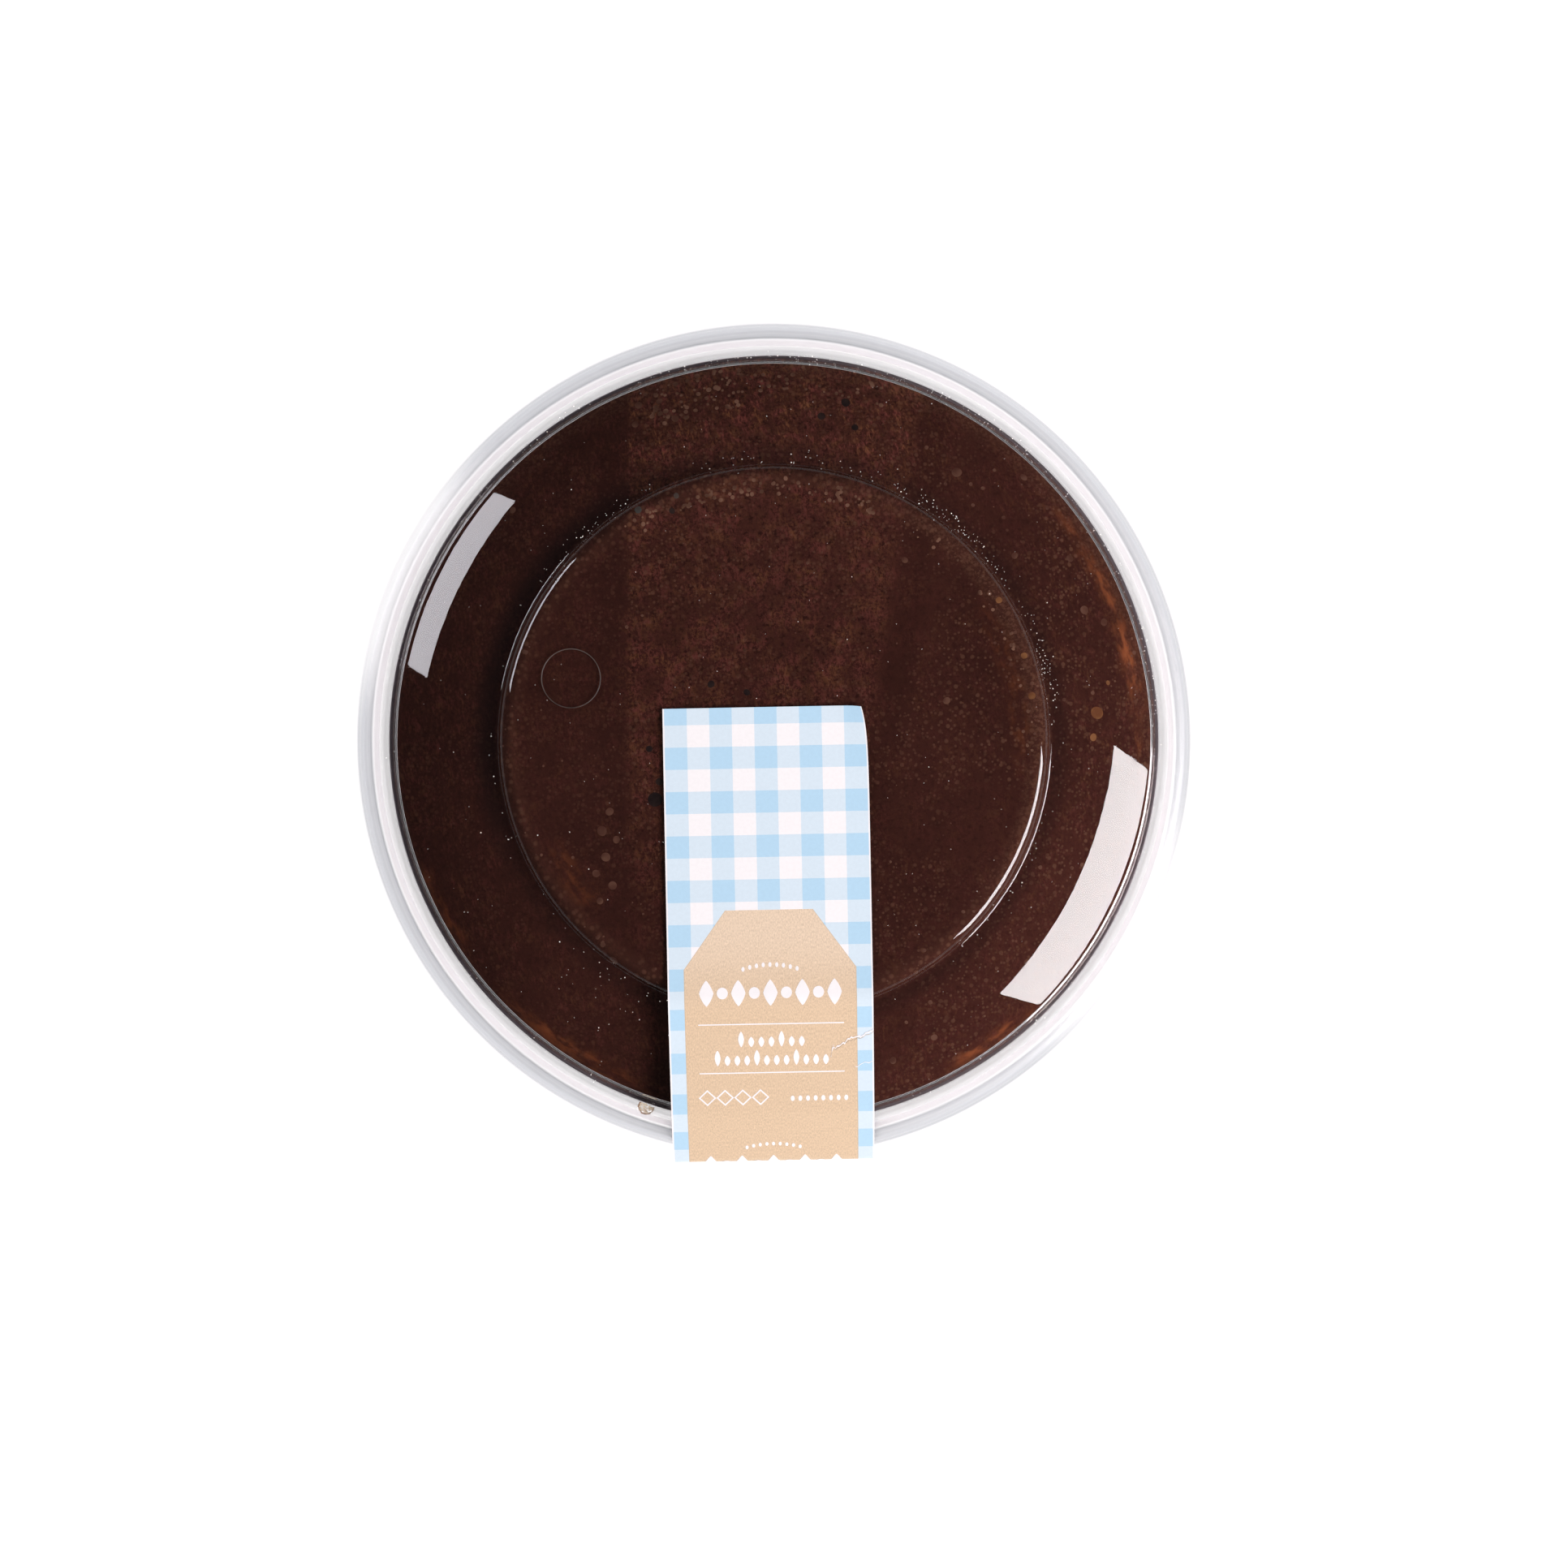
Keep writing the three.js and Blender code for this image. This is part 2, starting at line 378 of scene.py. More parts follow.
class Nodes:
    """A short way to add nodes to a tree and join them. A value is a number, a colour or a socket."""

    def __init__(self, tree):
        self.tree = tree

    def add(self, kind, inputs=(), **settings):
        node = self.tree.nodes.new(kind)
        for name, value in settings.items():
            setattr(node, name, value)
        for name, value in dict(inputs).items():
            self.put(node.inputs[name], value)
        return node

    def put(self, socket, value):
        if isinstance(value, bpy.types.NodeSocket):
            self.tree.links.new(value, socket)
        else:
            socket.default_value = value

    def put_in_order(self, node, values):
        for socket, value in zip(node.inputs, values):
            self.put(socket, value)
        return node.outputs

    def math(self, operation, *values):
        return self.put_in_order(self.add("ShaderNodeMath", operation=operation), values)[0]

    def times(self, first, *others):
        for other in others:
            first = self.math("MULTIPLY", first, other)
        return first

    def times_plus(self, value, factor, added):
        return self.math("MULTIPLY_ADD", value, factor, added)

    def plus(self, first, second):
        return self.math("ADD", first, second)

    def minus(self, first, second):
        return self.math("SUBTRACT", first, second)

    def over(self, first, second):
        return self.math("DIVIDE", first, second)

    def most(self, first, *others):
        for other in others:
            first = self.math("MAXIMUM", first, other)
        return first

    def apart(self, first, second):
        """How far two values are apart."""
        return self.math("ABSOLUTE", self.minus(first, second))

    def vector(self, operation, *values):
        outputs = self.put_in_order(self.add("ShaderNodeVectorMath", operation=operation), values)
        return outputs["Value" if operation == "LENGTH" else "Vector"]

    def place(self):
        return self.add("ShaderNodeTexCoord").outputs["Object"]

    def parts(self, vector):
        return self.add("ShaderNodeSeparateXYZ", {"Vector": vector}).outputs

    def mix(self, factor, first, second, blend="MIX"):
        inputs = {"Factor": factor, "A": first, "B": second}
        return self.add("ShaderNodeMix", inputs, data_type="RGBA", blend_type=blend).outputs["Result"]

    def step(self, value, low, high):
        """0 below low, 1 above high, smooth between; low above high turns it round."""
        turned = low > high
        node = self.add("ShaderNodeMapRange", {
            "Value": value,
            "From Min": min(low, high),
            "From Max": max(low, high),
            "To Min": 1.0 if turned else 0.0,
            "To Max": 0.0 if turned else 1.0,
        }, interpolation_type="SMOOTHSTEP")
        return node.outputs["Result"]

    def edge(self, length, low, high):
        """The same step for a length, with its limits in millimetres."""
        return self.step(length, low * MM, high * MM)

    def zone(self, length, start, full, still_full, end):
        """0 up to start, 1 between full and still_full, and 0 again from end, in millimetres."""
        return self.times(self.edge(length, start, full), self.edge(length, end, still_full))

    def noise(self, vector, scale, detail=2.0, roughness=0.5):
        inputs = {"Vector": vector, "Scale": scale, "Detail": detail, "Roughness": roughness}
        return self.add("ShaderNodeTexNoise", inputs).outputs["Fac"]

    def cells(self, vector, scale, randomness=1.0):
        inputs = {"Vector": vector, "Scale": scale, "Randomness": randomness}
        return self.add("ShaderNodeTexVoronoi", inputs).outputs

    def bump(self, height, strength, distance):
        inputs = {"Strength": strength, "Distance": distance, "Height": height}
        return self.add("ShaderNodeBump", inputs).outputs["Normal"]

    def principled(self, inputs):
        return self.add("ShaderNodeBsdfPrincipled", inputs).outputs["BSDF"]

    def mix_shader(self, factor, first, second):
        return self.put_in_order(self.add("ShaderNodeMixShader"), (factor, first, second))["Shader"]

    def surface(self, shader, output="ShaderNodeOutputMaterial"):
        self.add(output, {"Surface": shader})


def rgba(colour, factor=1.0):
    return (*(min(part * factor, 1.0) for part in colour), 1.0)


def new_material(name):
    material = bpy.data.materials.new(name)
    material.use_nodes = True
    material.node_tree.nodes.clear()
    return material, Nodes(material.node_tree)


def shared(name, make, *values):
    """The material of this name, made only once."""
    return bpy.data.materials.get(name) or make(name, *values)


def new_group(name, inputs, output):
    """A node group that puts out one number. An input without a default is a vector."""
    tree = bpy.data.node_groups.new(name, "ShaderNodeTree")
    for socket, default in inputs.items():
        kind = "NodeSocketVector" if default is None else "NodeSocketFloat"
        made = tree.interface.new_socket(socket, in_out="INPUT", socket_type=kind)
        if default is not None:
            made.default_value = default
    tree.interface.new_socket(output, in_out="OUTPUT", socket_type="NodeSocketFloat")
    nodes = Nodes(tree)
    return tree, nodes, nodes.add("NodeGroupInput").outputs, nodes.add("NodeGroupOutput").inputs[output]


def placed(nodes, group, **inputs):
    return nodes.add("ShaderNodeGroup", inputs, node_tree=group).outputs[0]


def dot_group():
    """Soft round dots at random places: the fine air bubbles in the mousse."""
    name = "Scattered dots"
    if name in bpy.data.node_groups:
        return bpy.data.node_groups[name]
    defaults = {"Vector": None, "Scale": 500.0, "Size": 0.3, "Share": 0.5}
    group, nodes, inputs, out = new_group(name, defaults, "Dots")
    cells = nodes.cells(inputs["Vector"], inputs["Scale"])
    dot = nodes.step(nodes.over(cells["Distance"], inputs["Size"]), 1.0, 0.55)
    draw = nodes.add("ShaderNodeSeparateColor", {"Color": cells["Color"]}).outputs
    chosen = nodes.math("LESS_THAN", draw["Red"], inputs["Share"])
    weight = nodes.times_plus(draw["Green"], 0.6, 0.4)
    nodes.put(out, nodes.times(dot, chosen, weight))
    return group


def arc_group():
    """A soft stretch of a ring round the Z axis, by radius and by angle."""
    name = "Soft arc"
    if name in bpy.data.node_groups:
        return bpy.data.node_groups[name]
    defaults = {"Radius": 0.0, "Angle": 0.0, "Ring": 0.05, "Width": 0.002, "Middle": 0.0, "Reach": 10.0}
    group, nodes, inputs, out = new_group(name, defaults, "Arc")
    off_ring = nodes.apart(inputs["Radius"], inputs["Ring"])
    across = nodes.step(nodes.over(off_ring, inputs["Width"]), 1.0, 0.0)
    turned = nodes.math("WRAP", nodes.minus(inputs["Angle"], inputs["Middle"]), 180.0, -180.0)
    off_middle = nodes.math("ABSOLUTE", turned)
    along = nodes.step(nodes.over(off_middle, inputs["Reach"]), 1.0, 0.35)
    nodes.put(out, nodes.times(across, along))
    return group


# A reach and a width so large that they set no limit
WHOLE_RING = 1000.0
ANY_WIDTH = 1000.0


class RoundPlace:
    """Where a point of a turned surface is: its distance from the axis and its angle round it."""

    def __init__(self, nodes):
        self.nodes = nodes
        self.place = nodes.place()
        parts = nodes.parts(self.place)
        self.x = parts["X"]
        self.y = parts["Y"]
        self.radius = nodes.vector("LENGTH", nodes.vector("MULTIPLY", self.place, (1.0, 1.0, 0.0)))
        self.angle = nodes.math("DEGREES", nodes.math("ARCTAN2", self.y, self.x))

    def arc(self, ring, width, middle=0.0, reach=WHOLE_RING):
        """A soft stretch of a ring, by its radius, half width, middle angle and reach to either side."""
        return placed(self.nodes, arc_group(), Radius=self.radius, Angle=self.angle, Ring=ring * MM,
                      Width=width * MM, Middle=middle, Reach=reach)


# Settings that a user would change


class TubSettings(bpy.types.PropertyGroup):
    wall: FloatProperty(
        name="Wall", description="Thickness of bowl and lid, in millimetres", default=0.5, min=0.2)
    segments: IntProperty(
        name="Segments", description="Steps round the axis of every turned piece", default=256, min=32)
    tint: FloatVectorProperty(
        name="Plastic tint", description="Colour that light takes on in the clear plastic",
        subtype="COLOR", size=3, default=(0.985, 0.972, 0.98))
    # Painted shade: the flange tint stands in for the tub's shadow on the floor seen through the flat
    # flanges
    flange_shade_tint: FloatVectorProperty(
        name="Flange tint", description="Colour that light takes on in the flat flanges of lid and bowl",
        subtype="COLOR", size=3, default=(0.93, 0.905, 0.918))
    # Painted shade: the rim tint darkens the rim's grey band, which stands in for the dark that the skirt
    # refracts
    rim_shade_tint: FloatVectorProperty(
        name="Rim tint", description="Colour that light takes on in the greyer edge of the lid",
        subtype="COLOR", size=3, default=(0.645, 0.65, 0.68))


class MousseSettings(bpy.types.PropertyGroup):
    depth: FloatProperty(
        name="Depth in wall", default=0.35, min=0.05,
        description="How far below the plastic's outer skin the mousse starts, in millimetres")
    body: FloatVectorProperty(
        name="Mousse", description="Colour of the plain mousse",
        subtype="COLOR", size=3, default=(0.040, 0.0125, 0.0092))
    fleck: FloatVectorProperty(
        name="Flecks", description="Colour of the paler, airier flecks",
        subtype="COLOR", size=3, default=(0.198, 0.078, 0.034))
    fleck_rosy: FloatVectorProperty(
        name="Rosy flecks", description="Colour of the redder flecks among the pale ones",
        subtype="COLOR", size=3, default=(0.160, 0.045, 0.035))
    # Colour of a greyer ring of the mousse below the lid's groove
    grey_ring: FloatVectorProperty(
        name="Smear", description="Colour of the thin smear below the lid's groove",
        subtype="COLOR", size=3, default=(0.095, 0.082, 0.088))
    # Painted light: the brown of the caustics where lamp light, focused by the plastic's rounded edges,
    # falls on the mousse
    painted_glow: FloatVectorProperty(
        name="Thin mousse", description="Colour where the mousse is thin against the plastic",
        subtype="COLOR", size=3, default=(0.150, 0.044, 0.017))
    bubble: FloatVectorProperty(
        name="Bubble colour", description="Colour of the fine round air bubbles",
        subtype="COLOR", size=3, default=(0.130, 0.060, 0.037))
    bubbles: IntProperty(
        name="Bubbles", description="Number of scattered round bubbles", default=340, min=0)
    seed: IntProperty(name="Seed", description="Start of the random draws", default=7)


class StripSettings(bpy.types.PropertyGroup):
    width: FloatProperty(
        name="Width", description="Width of the paper strip, in millimetres", default=42.5, min=10.0)
    paper: FloatProperty(
        name="Paper", description="Thickness of the paper, in millimetres", default=0.14, min=0.05)
    check: FloatProperty(
        name="Check", description="Side of one printed check, in millimetres", default=4.6, min=1.0)
    white: FloatVectorProperty(
        name="White", description="Unprinted paper", subtype="COLOR", size=3, default=(0.93, 0.885, 0.90))
    light_blue: FloatVectorProperty(
        name="Light blue", description="Single stripe of the checks",
        subtype="COLOR", size=3, default=(0.68, 0.78, 0.87))
    dark_blue: FloatVectorProperty(
        name="Dark blue", description="Crossing of two stripes",
        subtype="COLOR", size=3, default=(0.47, 0.68, 0.855))
    kraft: FloatVectorProperty(
        name="Kraft", description="Printed kraft tag",
        subtype="COLOR", size=3, default=(0.745, 0.553, 0.388))


class StageSettings(bpy.types.PropertyGroup):
    floor: FloatVectorProperty(
        name="Floor", description="Colour of the pale floor",
        subtype="COLOR", size=3, default=(0.2, 0.2, 0.2))
    floor_glow: FloatProperty(
        name="Floor glow", description="How strongly the floor shines by itself", default=1.0)
    left_power: FloatProperty(
        name="Left softbox", description="Power of the softbox behind on the left",
        default=4.3, unit="POWER")
    right_power: FloatProperty(
        name="Right softbox", description="Power of the softbox in front on the right",
        default=17.3, unit="POWER")
    daylight: FloatProperty(
        name="Room light", description="Strength of the even light from all round", default=0.5)


# Materials


PLASTIC_IOR = 1.57
CLEAR_SHADOW = (0.93, 0.93, 0.935, 1.0)
# Zones of the plastic round the rim: radius where each starts, is full, is still full and ends
RIM_SHADE_ZONE = (84.4, 85.0, 87.9, 88.4)
FLAT_FLANGE = (82.0, 82.5, 84.3, 84.8)
FROSTED_RIM = (81.3, 81.8, 87.4, 88.0)
CLEAR_RING = (81.1, 81.5, 82.9, 83.4)
# Painted shade and light: thin darker and lighter lines round the rim, standing in for the plastic's
# refraction lines: radius, half width, strength
PAINTED_RIM_LINES = ((86.8, 0.35, 0.35), (85.9, 0.4, -0.25), (87.7, 0.4, -0.2))
# Stretches of the rim where the softboxes reflect, painted lighter by taking the painted rim shade away:
# middle angle, reach
RIM_LIT_STRETCHES = ((156.0, 24.0), (331.0, 24.0))
RIM_MIDDLE = 86.5


def clear_plastic(name, settings):
    material, nodes = new_material(name)
    spot = RoundPlace(nodes)
    ripple = nodes.noise(spot.place, 38.0, 1.0)
    grain = nodes.noise(spot.place, 900.0)
    smudge = nodes.noise(spot.place, 120.0, 3.0, 0.6)

    # Painted shade: a grey band with thin darker and lighter lines round the rim
    painted_rim_shade = nodes.zone(spot.radius, *RIM_SHADE_ZONE)
    for ring, width, strength in PAINTED_RIM_LINES:
        painted_rim_shade = nodes.times_plus(spot.arc(ring, width), strength, painted_rim_shade)
    # Painted highlight: the painted rim shade fades where the softboxes reflect
    for middle, reach in RIM_LIT_STRETCHES:
        clear = spot.arc(RIM_MIDDLE, ANY_WIDTH, middle, reach)
        painted_rim_shade = nodes.times(painted_rim_shade, nodes.times_plus(clear, -0.85, 1.0))
    on_flange = nodes.zone(spot.radius, *FLAT_FLANGE)
    # The flanges' deeper tint is painted shade of the floor below them
    tint = nodes.mix(on_flange, rgba(settings.tint), rgba(settings.flange_shade_tint))
    tint = nodes.mix(painted_rim_shade, tint, rgba(settings.rim_shade_tint))
    roughness = nodes.times_plus(nodes.step(smudge, 0.45, 0.75), 0.03, 0.015)
    roughness = nodes.times_plus(nodes.zone(spot.radius, *FROSTED_RIM), 0.4, roughness)
    plastic = nodes.principled({
        "Base Color": tint,
        "Roughness": roughness,
        "Normal": nodes.bump(nodes.times_plus(grain, 0.02, ripple), 0.12, 0.6 * MM),
        "IOR": PLASTIC_IOR,
        "Transmission Weight": 1.0,
        "Alpha": nodes.times_plus(nodes.zone(spot.radius, *CLEAR_RING), -0.65, 1.0),
    })
    shadow = nodes.add("ShaderNodeBsdfTransparent", {"Color": CLEAR_SHADOW}).outputs["BSDF"]
    in_shadow = nodes.add("ShaderNodeLightPath").outputs["Is Shadow Ray"]
    nodes.surface(nodes.mix_shader(in_shadow, plastic, shadow))
    return material


MOUSSE_IOR = 1.36
# Paler airy band across the back: its sides and its lower end, and how far its right side leans
BAND_LEFT = -30.5
BAND_RIGHT = 19.0
BAND_RIGHT_LEAN = 0.17
BAND_END = -26.0
# Its flecks lie askew and are drawn out along Y and Z
FLECK_LEAN = 12.0
FLECK_STRETCH = (1.0, 2.6, 1.6)
PIT_SHIFT = (0.3, 0.1, 0.0)
# Painted caustics, where lamp light focused by the plastic's rounded edges brightens the mousse brown: ring
# radius, half width, middle angle, reach, strength
PAINTED_CAUSTICS = (
    (76.6, 3.3, 20.0, 21.0, 0.8),
    (78.0, 2.8, 207.0, 9.0, 0.7),
    (77.8, 3.4, 237.0, 17.0, 0.8),
    (78.0, 2.8, 306.0, 11.0, 0.7),
    (51.2, 3.6, 14.0, 26.0, 0.4),
    (50.6, 4.0, 214.0, 11.0, 0.5),
)
# Brighter cores of the same painted caustics
PAINTED_CAUSTIC_CORES = (
    (76.2, 2.1, 13.0, 7.0, 0.62),
    (76.9, 2.3, 25.0, 6.0, 0.36),
    (76.4, 1.9, 35.0, 6.0, 0.25),
    (76.4, 1.3, 1.5, 6.0, 0.45),
    (77.2, 1.2, 236.0, 8.0, 0.4),
    (77.6, 1.1, 305.0, 7.0, 0.45),
)
PAINTED_CAUSTIC_CORE = 1.9
# Rings of other shades: radius, half width and, where it isn't a whole ring, middle angle and reach
PALE_EDGE = (54.8, 3.2)
PALE_EDGE_RIGHT = (55.0, 3.6, 15.0, 75.0)
PALE_OUTER = (78.8, 4.2, 75.0, 110.0)
# Painted shade in the hollow at the bottom of the plateau's edge, deepest on the upper left
FOOT_SHADE = (59.2, 3.4)
FOOT_SHADE_LEFT = (59.6, 4.8, 160.0, 62.0)
FOOT_SHADE_COLOUR = (0.009, 0.0055, 0.0055, 1.0)
GREY_RING_START = 80.2
GREY_RING_FULL = 80.8


def airy_band(nodes, spot):
    """The paler band across the back, and the darker edges beside it."""
    right_side = nodes.times_plus(spot.y, BAND_RIGHT_LEAN, BAND_RIGHT * MM)
    in_left = nodes.edge(nodes.minus(spot.x, BAND_LEFT * MM), -0.6, 1.2)
    in_right = nodes.edge(nodes.minus(right_side, spot.x), -1.2, 1.4)
    above_end = nodes.edge(nodes.minus(spot.y, BAND_END * MM), -20.0, 20.0)
    band = nodes.times(in_left, in_right, above_end)
    near_left = nodes.edge(nodes.apart(spot.x, (BAND_LEFT - 3.0) * MM), 4.5, 1.0)
    near_right = nodes.edge(nodes.apart(nodes.plus(right_side, 4.0 * MM), spot.x), 5.5, 1.0)
    beside = nodes.times(nodes.most(near_left, near_right), above_end)
    return band, nodes.times(beside, nodes.minus(1.0, band))


def mousse_material(name, settings):
    material, nodes = new_material(name)
    spot = RoundPlace(nodes)
    place, radius = spot.place, spot.radius
    band, beside = airy_band(nodes, spot)

    # Flecks drawn out a little across the band, fine grain, and foam near the edges
    leaned = nodes.add("ShaderNodeMapping", {
        "Vector": place,
        "Rotation": (0.0, 0.0, math.radians(FLECK_LEAN)),
        "Scale": FLECK_STRETCH,
    }, vector_type="TEXTURE").outputs["Vector"]
    streaks = nodes.step(nodes.noise(leaned, 1500.0, 3.0, 0.65), 0.47, 0.66)
    fine = nodes.step(nodes.noise(place, 1500.0, 3.0, 0.75), 0.46, 0.62)
    clump = nodes.step(nodes.noise(place, 210.0, 3.0, 0.6), 0.36, 0.66)
    cloud = nodes.noise(place, 55.0, 3.0, 0.6)
    foam = nodes.step(nodes.cells(place, 620.0, 0.9)["Distance"], 0.45, 0.15)
    on_shoulder = nodes.edge(radius, 61.0, 64.0)
    near_plateau_edge = nodes.edge(nodes.apart(radius, 53.5 * MM), 4.5, 1.0)
    foam_zone = nodes.most(nodes.edge(radius, 68.0, 75.0), near_plateau_edge)
    foamy = nodes.times(foam, nodes.times(foam_zone, nodes.step(cloud, 0.4, 0.6)))
    streaked = nodes.times(streaks, nodes.times_plus(on_shoulder, 0.45, 0.55))
    texture = nodes.most(nodes.times(fine, 0.47), streaked)
    texture = nodes.times(texture, nodes.times_plus(clump, 0.85, 0.15))
    texture = nodes.most(texture, nodes.times(foamy, 0.55))
    banded = nodes.times(texture, nodes.times_plus(band, 0.72, 0.28))

    # Fine dots everywhere, closer together on the right
    dots = placed(nodes, dot_group(), Vector=place, Scale=620.0, Size=0.36, Share=0.6)
    small_dots = placed(nodes, dot_group(), Vector=place, Scale=1150.0, Size=0.42, Share=0.7)
    to_right = nodes.times_plus(nodes.edge(spot.x, -30.0, 70.0), 0.6, 0.3)
    dot_area = nodes.times(nodes.step(cloud, 0.34, 0.6), nodes.most(to_right, nodes.times(band, 0.7)))
    dotted = nodes.times(nodes.most(dots, small_dots), dot_area)

    # Plain mousse with wide clouds and small pits, then the flecks and dots on it
    clouds = nodes.step(nodes.noise(place, 16.0), 0.35, 0.68)
    body = nodes.mix(clouds, rgba(settings.body, 0.85), rgba(settings.body, 1.2))
    body = nodes.mix(nodes.times(beside, 0.4), body, rgba(settings.body, 0.62))
    pits = nodes.step(nodes.noise(nodes.vector("ADD", place, PIT_SHIFT), 900.0, 3.0, 0.7), 0.5, 0.66)
    pitted = nodes.times(pits, nodes.times_plus(band, 0.45, 0.35))
    body = nodes.mix(pitted, body, rgba(settings.body, 0.4))
    fleck_hue = nodes.step(nodes.noise(place, 420.0), 0.4, 0.6)
    fleck = nodes.mix(fleck_hue, rgba(settings.fleck), rgba(settings.fleck_rosy))
    colour = nodes.mix(banded, body, fleck)
    colour = nodes.mix(nodes.times(dotted, 0.7), colour, rgba(settings.bubble))

    # Painted caustic light, brown on the mousse, in patches that run round the axis
    unrolled = nodes.add("ShaderNodeCombineXYZ", {
        "X": nodes.times(spot.angle, 0.26), "Y": nodes.times(radius, 480.0)}).outputs["Vector"]
    swirl = nodes.noise(unrolled, 1.0, 3.0, 0.6)
    patchy = nodes.times_plus(nodes.step(swirl, 0.42, 0.66), 0.9, 0.1)
    for caustic_rings, brightness in ((PAINTED_CAUSTICS, 1.0), (PAINTED_CAUSTIC_CORES, PAINTED_CAUSTIC_CORE)):
        for ring, width, middle, reach, strength in caustic_rings:
            caustic_light = nodes.times(spot.arc(ring, width, middle, reach), patchy, strength)
            colour = nodes.mix(caustic_light, colour, rgba(settings.painted_glow, brightness))

    # Paler inside the plateau's edge, and painted shade, near black, in the hollow at the bottom of that
    # edge
    grains = nodes.most(dots, fine)
    pale = nodes.most(
        nodes.times(spot.arc(*PALE_EDGE), nodes.times_plus(foam, 0.35, 0.1)),
        nodes.times(spot.arc(*PALE_EDGE_RIGHT), nodes.times_plus(grains, 0.45, 0.08)),
        nodes.times(spot.arc(*PALE_OUTER), nodes.times_plus(grains, 0.35, 0.08)),
    )
    colour = nodes.mix(pale, colour, rgba(settings.bubble))
    foot_shade = nodes.most(nodes.times(spot.arc(*FOOT_SHADE), 0.3), nodes.times(spot.arc(*FOOT_SHADE_LEFT), 0.65))
    colour = nodes.mix(foot_shade, colour, FOOT_SHADE_COLOUR)

    # A greyer ring of the mousse below the groove
    grey_ring = nodes.edge(radius, GREY_RING_START, GREY_RING_FULL)
    colour = nodes.mix(nodes.times(grey_ring, 0.9), colour, rgba(settings.grey_ring))

    height = nodes.plus(nodes.times(banded, 0.5), dotted)
    nodes.surface(nodes.principled({
        "Base Color": colour,
        "Roughness": nodes.times_plus(fine, 0.2, 0.45),
        "Normal": nodes.bump(height, 0.3, 0.2 * MM),
        "IOR": MOUSSE_IOR,
        "Specular IOR Level": 0.0,
    }))
    return material


def speck_material(name, colour, variation, roughness=0.4, shine=0.5, painted_glow=0.0):
    """A plain grain, a little different from one to the next, which can shine by itself as painted light.
    """
    material, nodes = new_material(name)
    place = nodes.place()
    patches = nodes.noise(place, 300.0)
    shade = nodes.mix(nodes.step(patches, 0.35, 0.65), rgba(colour), rgba(variation))
    grain = nodes.noise(place, 2500.0)
    nodes.surface(nodes.principled({
        "Base Color": shade,
        "Roughness": nodes.times_plus(grain, 0.2, roughness - 0.1),
        "Normal": nodes.bump(grain, 0.2, 0.05 * MM),
        "Specular IOR Level": shine,
        "Emission Color": shade,
        "Emission Strength": painted_glow,
    }))
    return material


PAPER_MAP = "paper"
PRINT_EDGE = 0.06
WHITE_EDGE = 0.32
FIRST_ROW = 3.45
CHECK_COLUMNS = 9
# Kraft tag on the flat paper: its top, the end of its slanted shoulders, and half its widths there
TAG_TOP = 42.0
TAG_SHOULDER = 54.2
TAG_TOP_HALF = 9.1
TAG_HALF = 17.9
# Painted light: the tag is paler towards its top, where the paper lies flat on the plateau
TOP_LIGHT_START = 66.0
TOP_LIGHT_FULL = 46.0
KRAFT_TONE = (1.0, 0.985, 0.955, 1.0)
KRAFT_TOP_LIT_TONE = (1.09, 1.13, 1.2, 1.0)


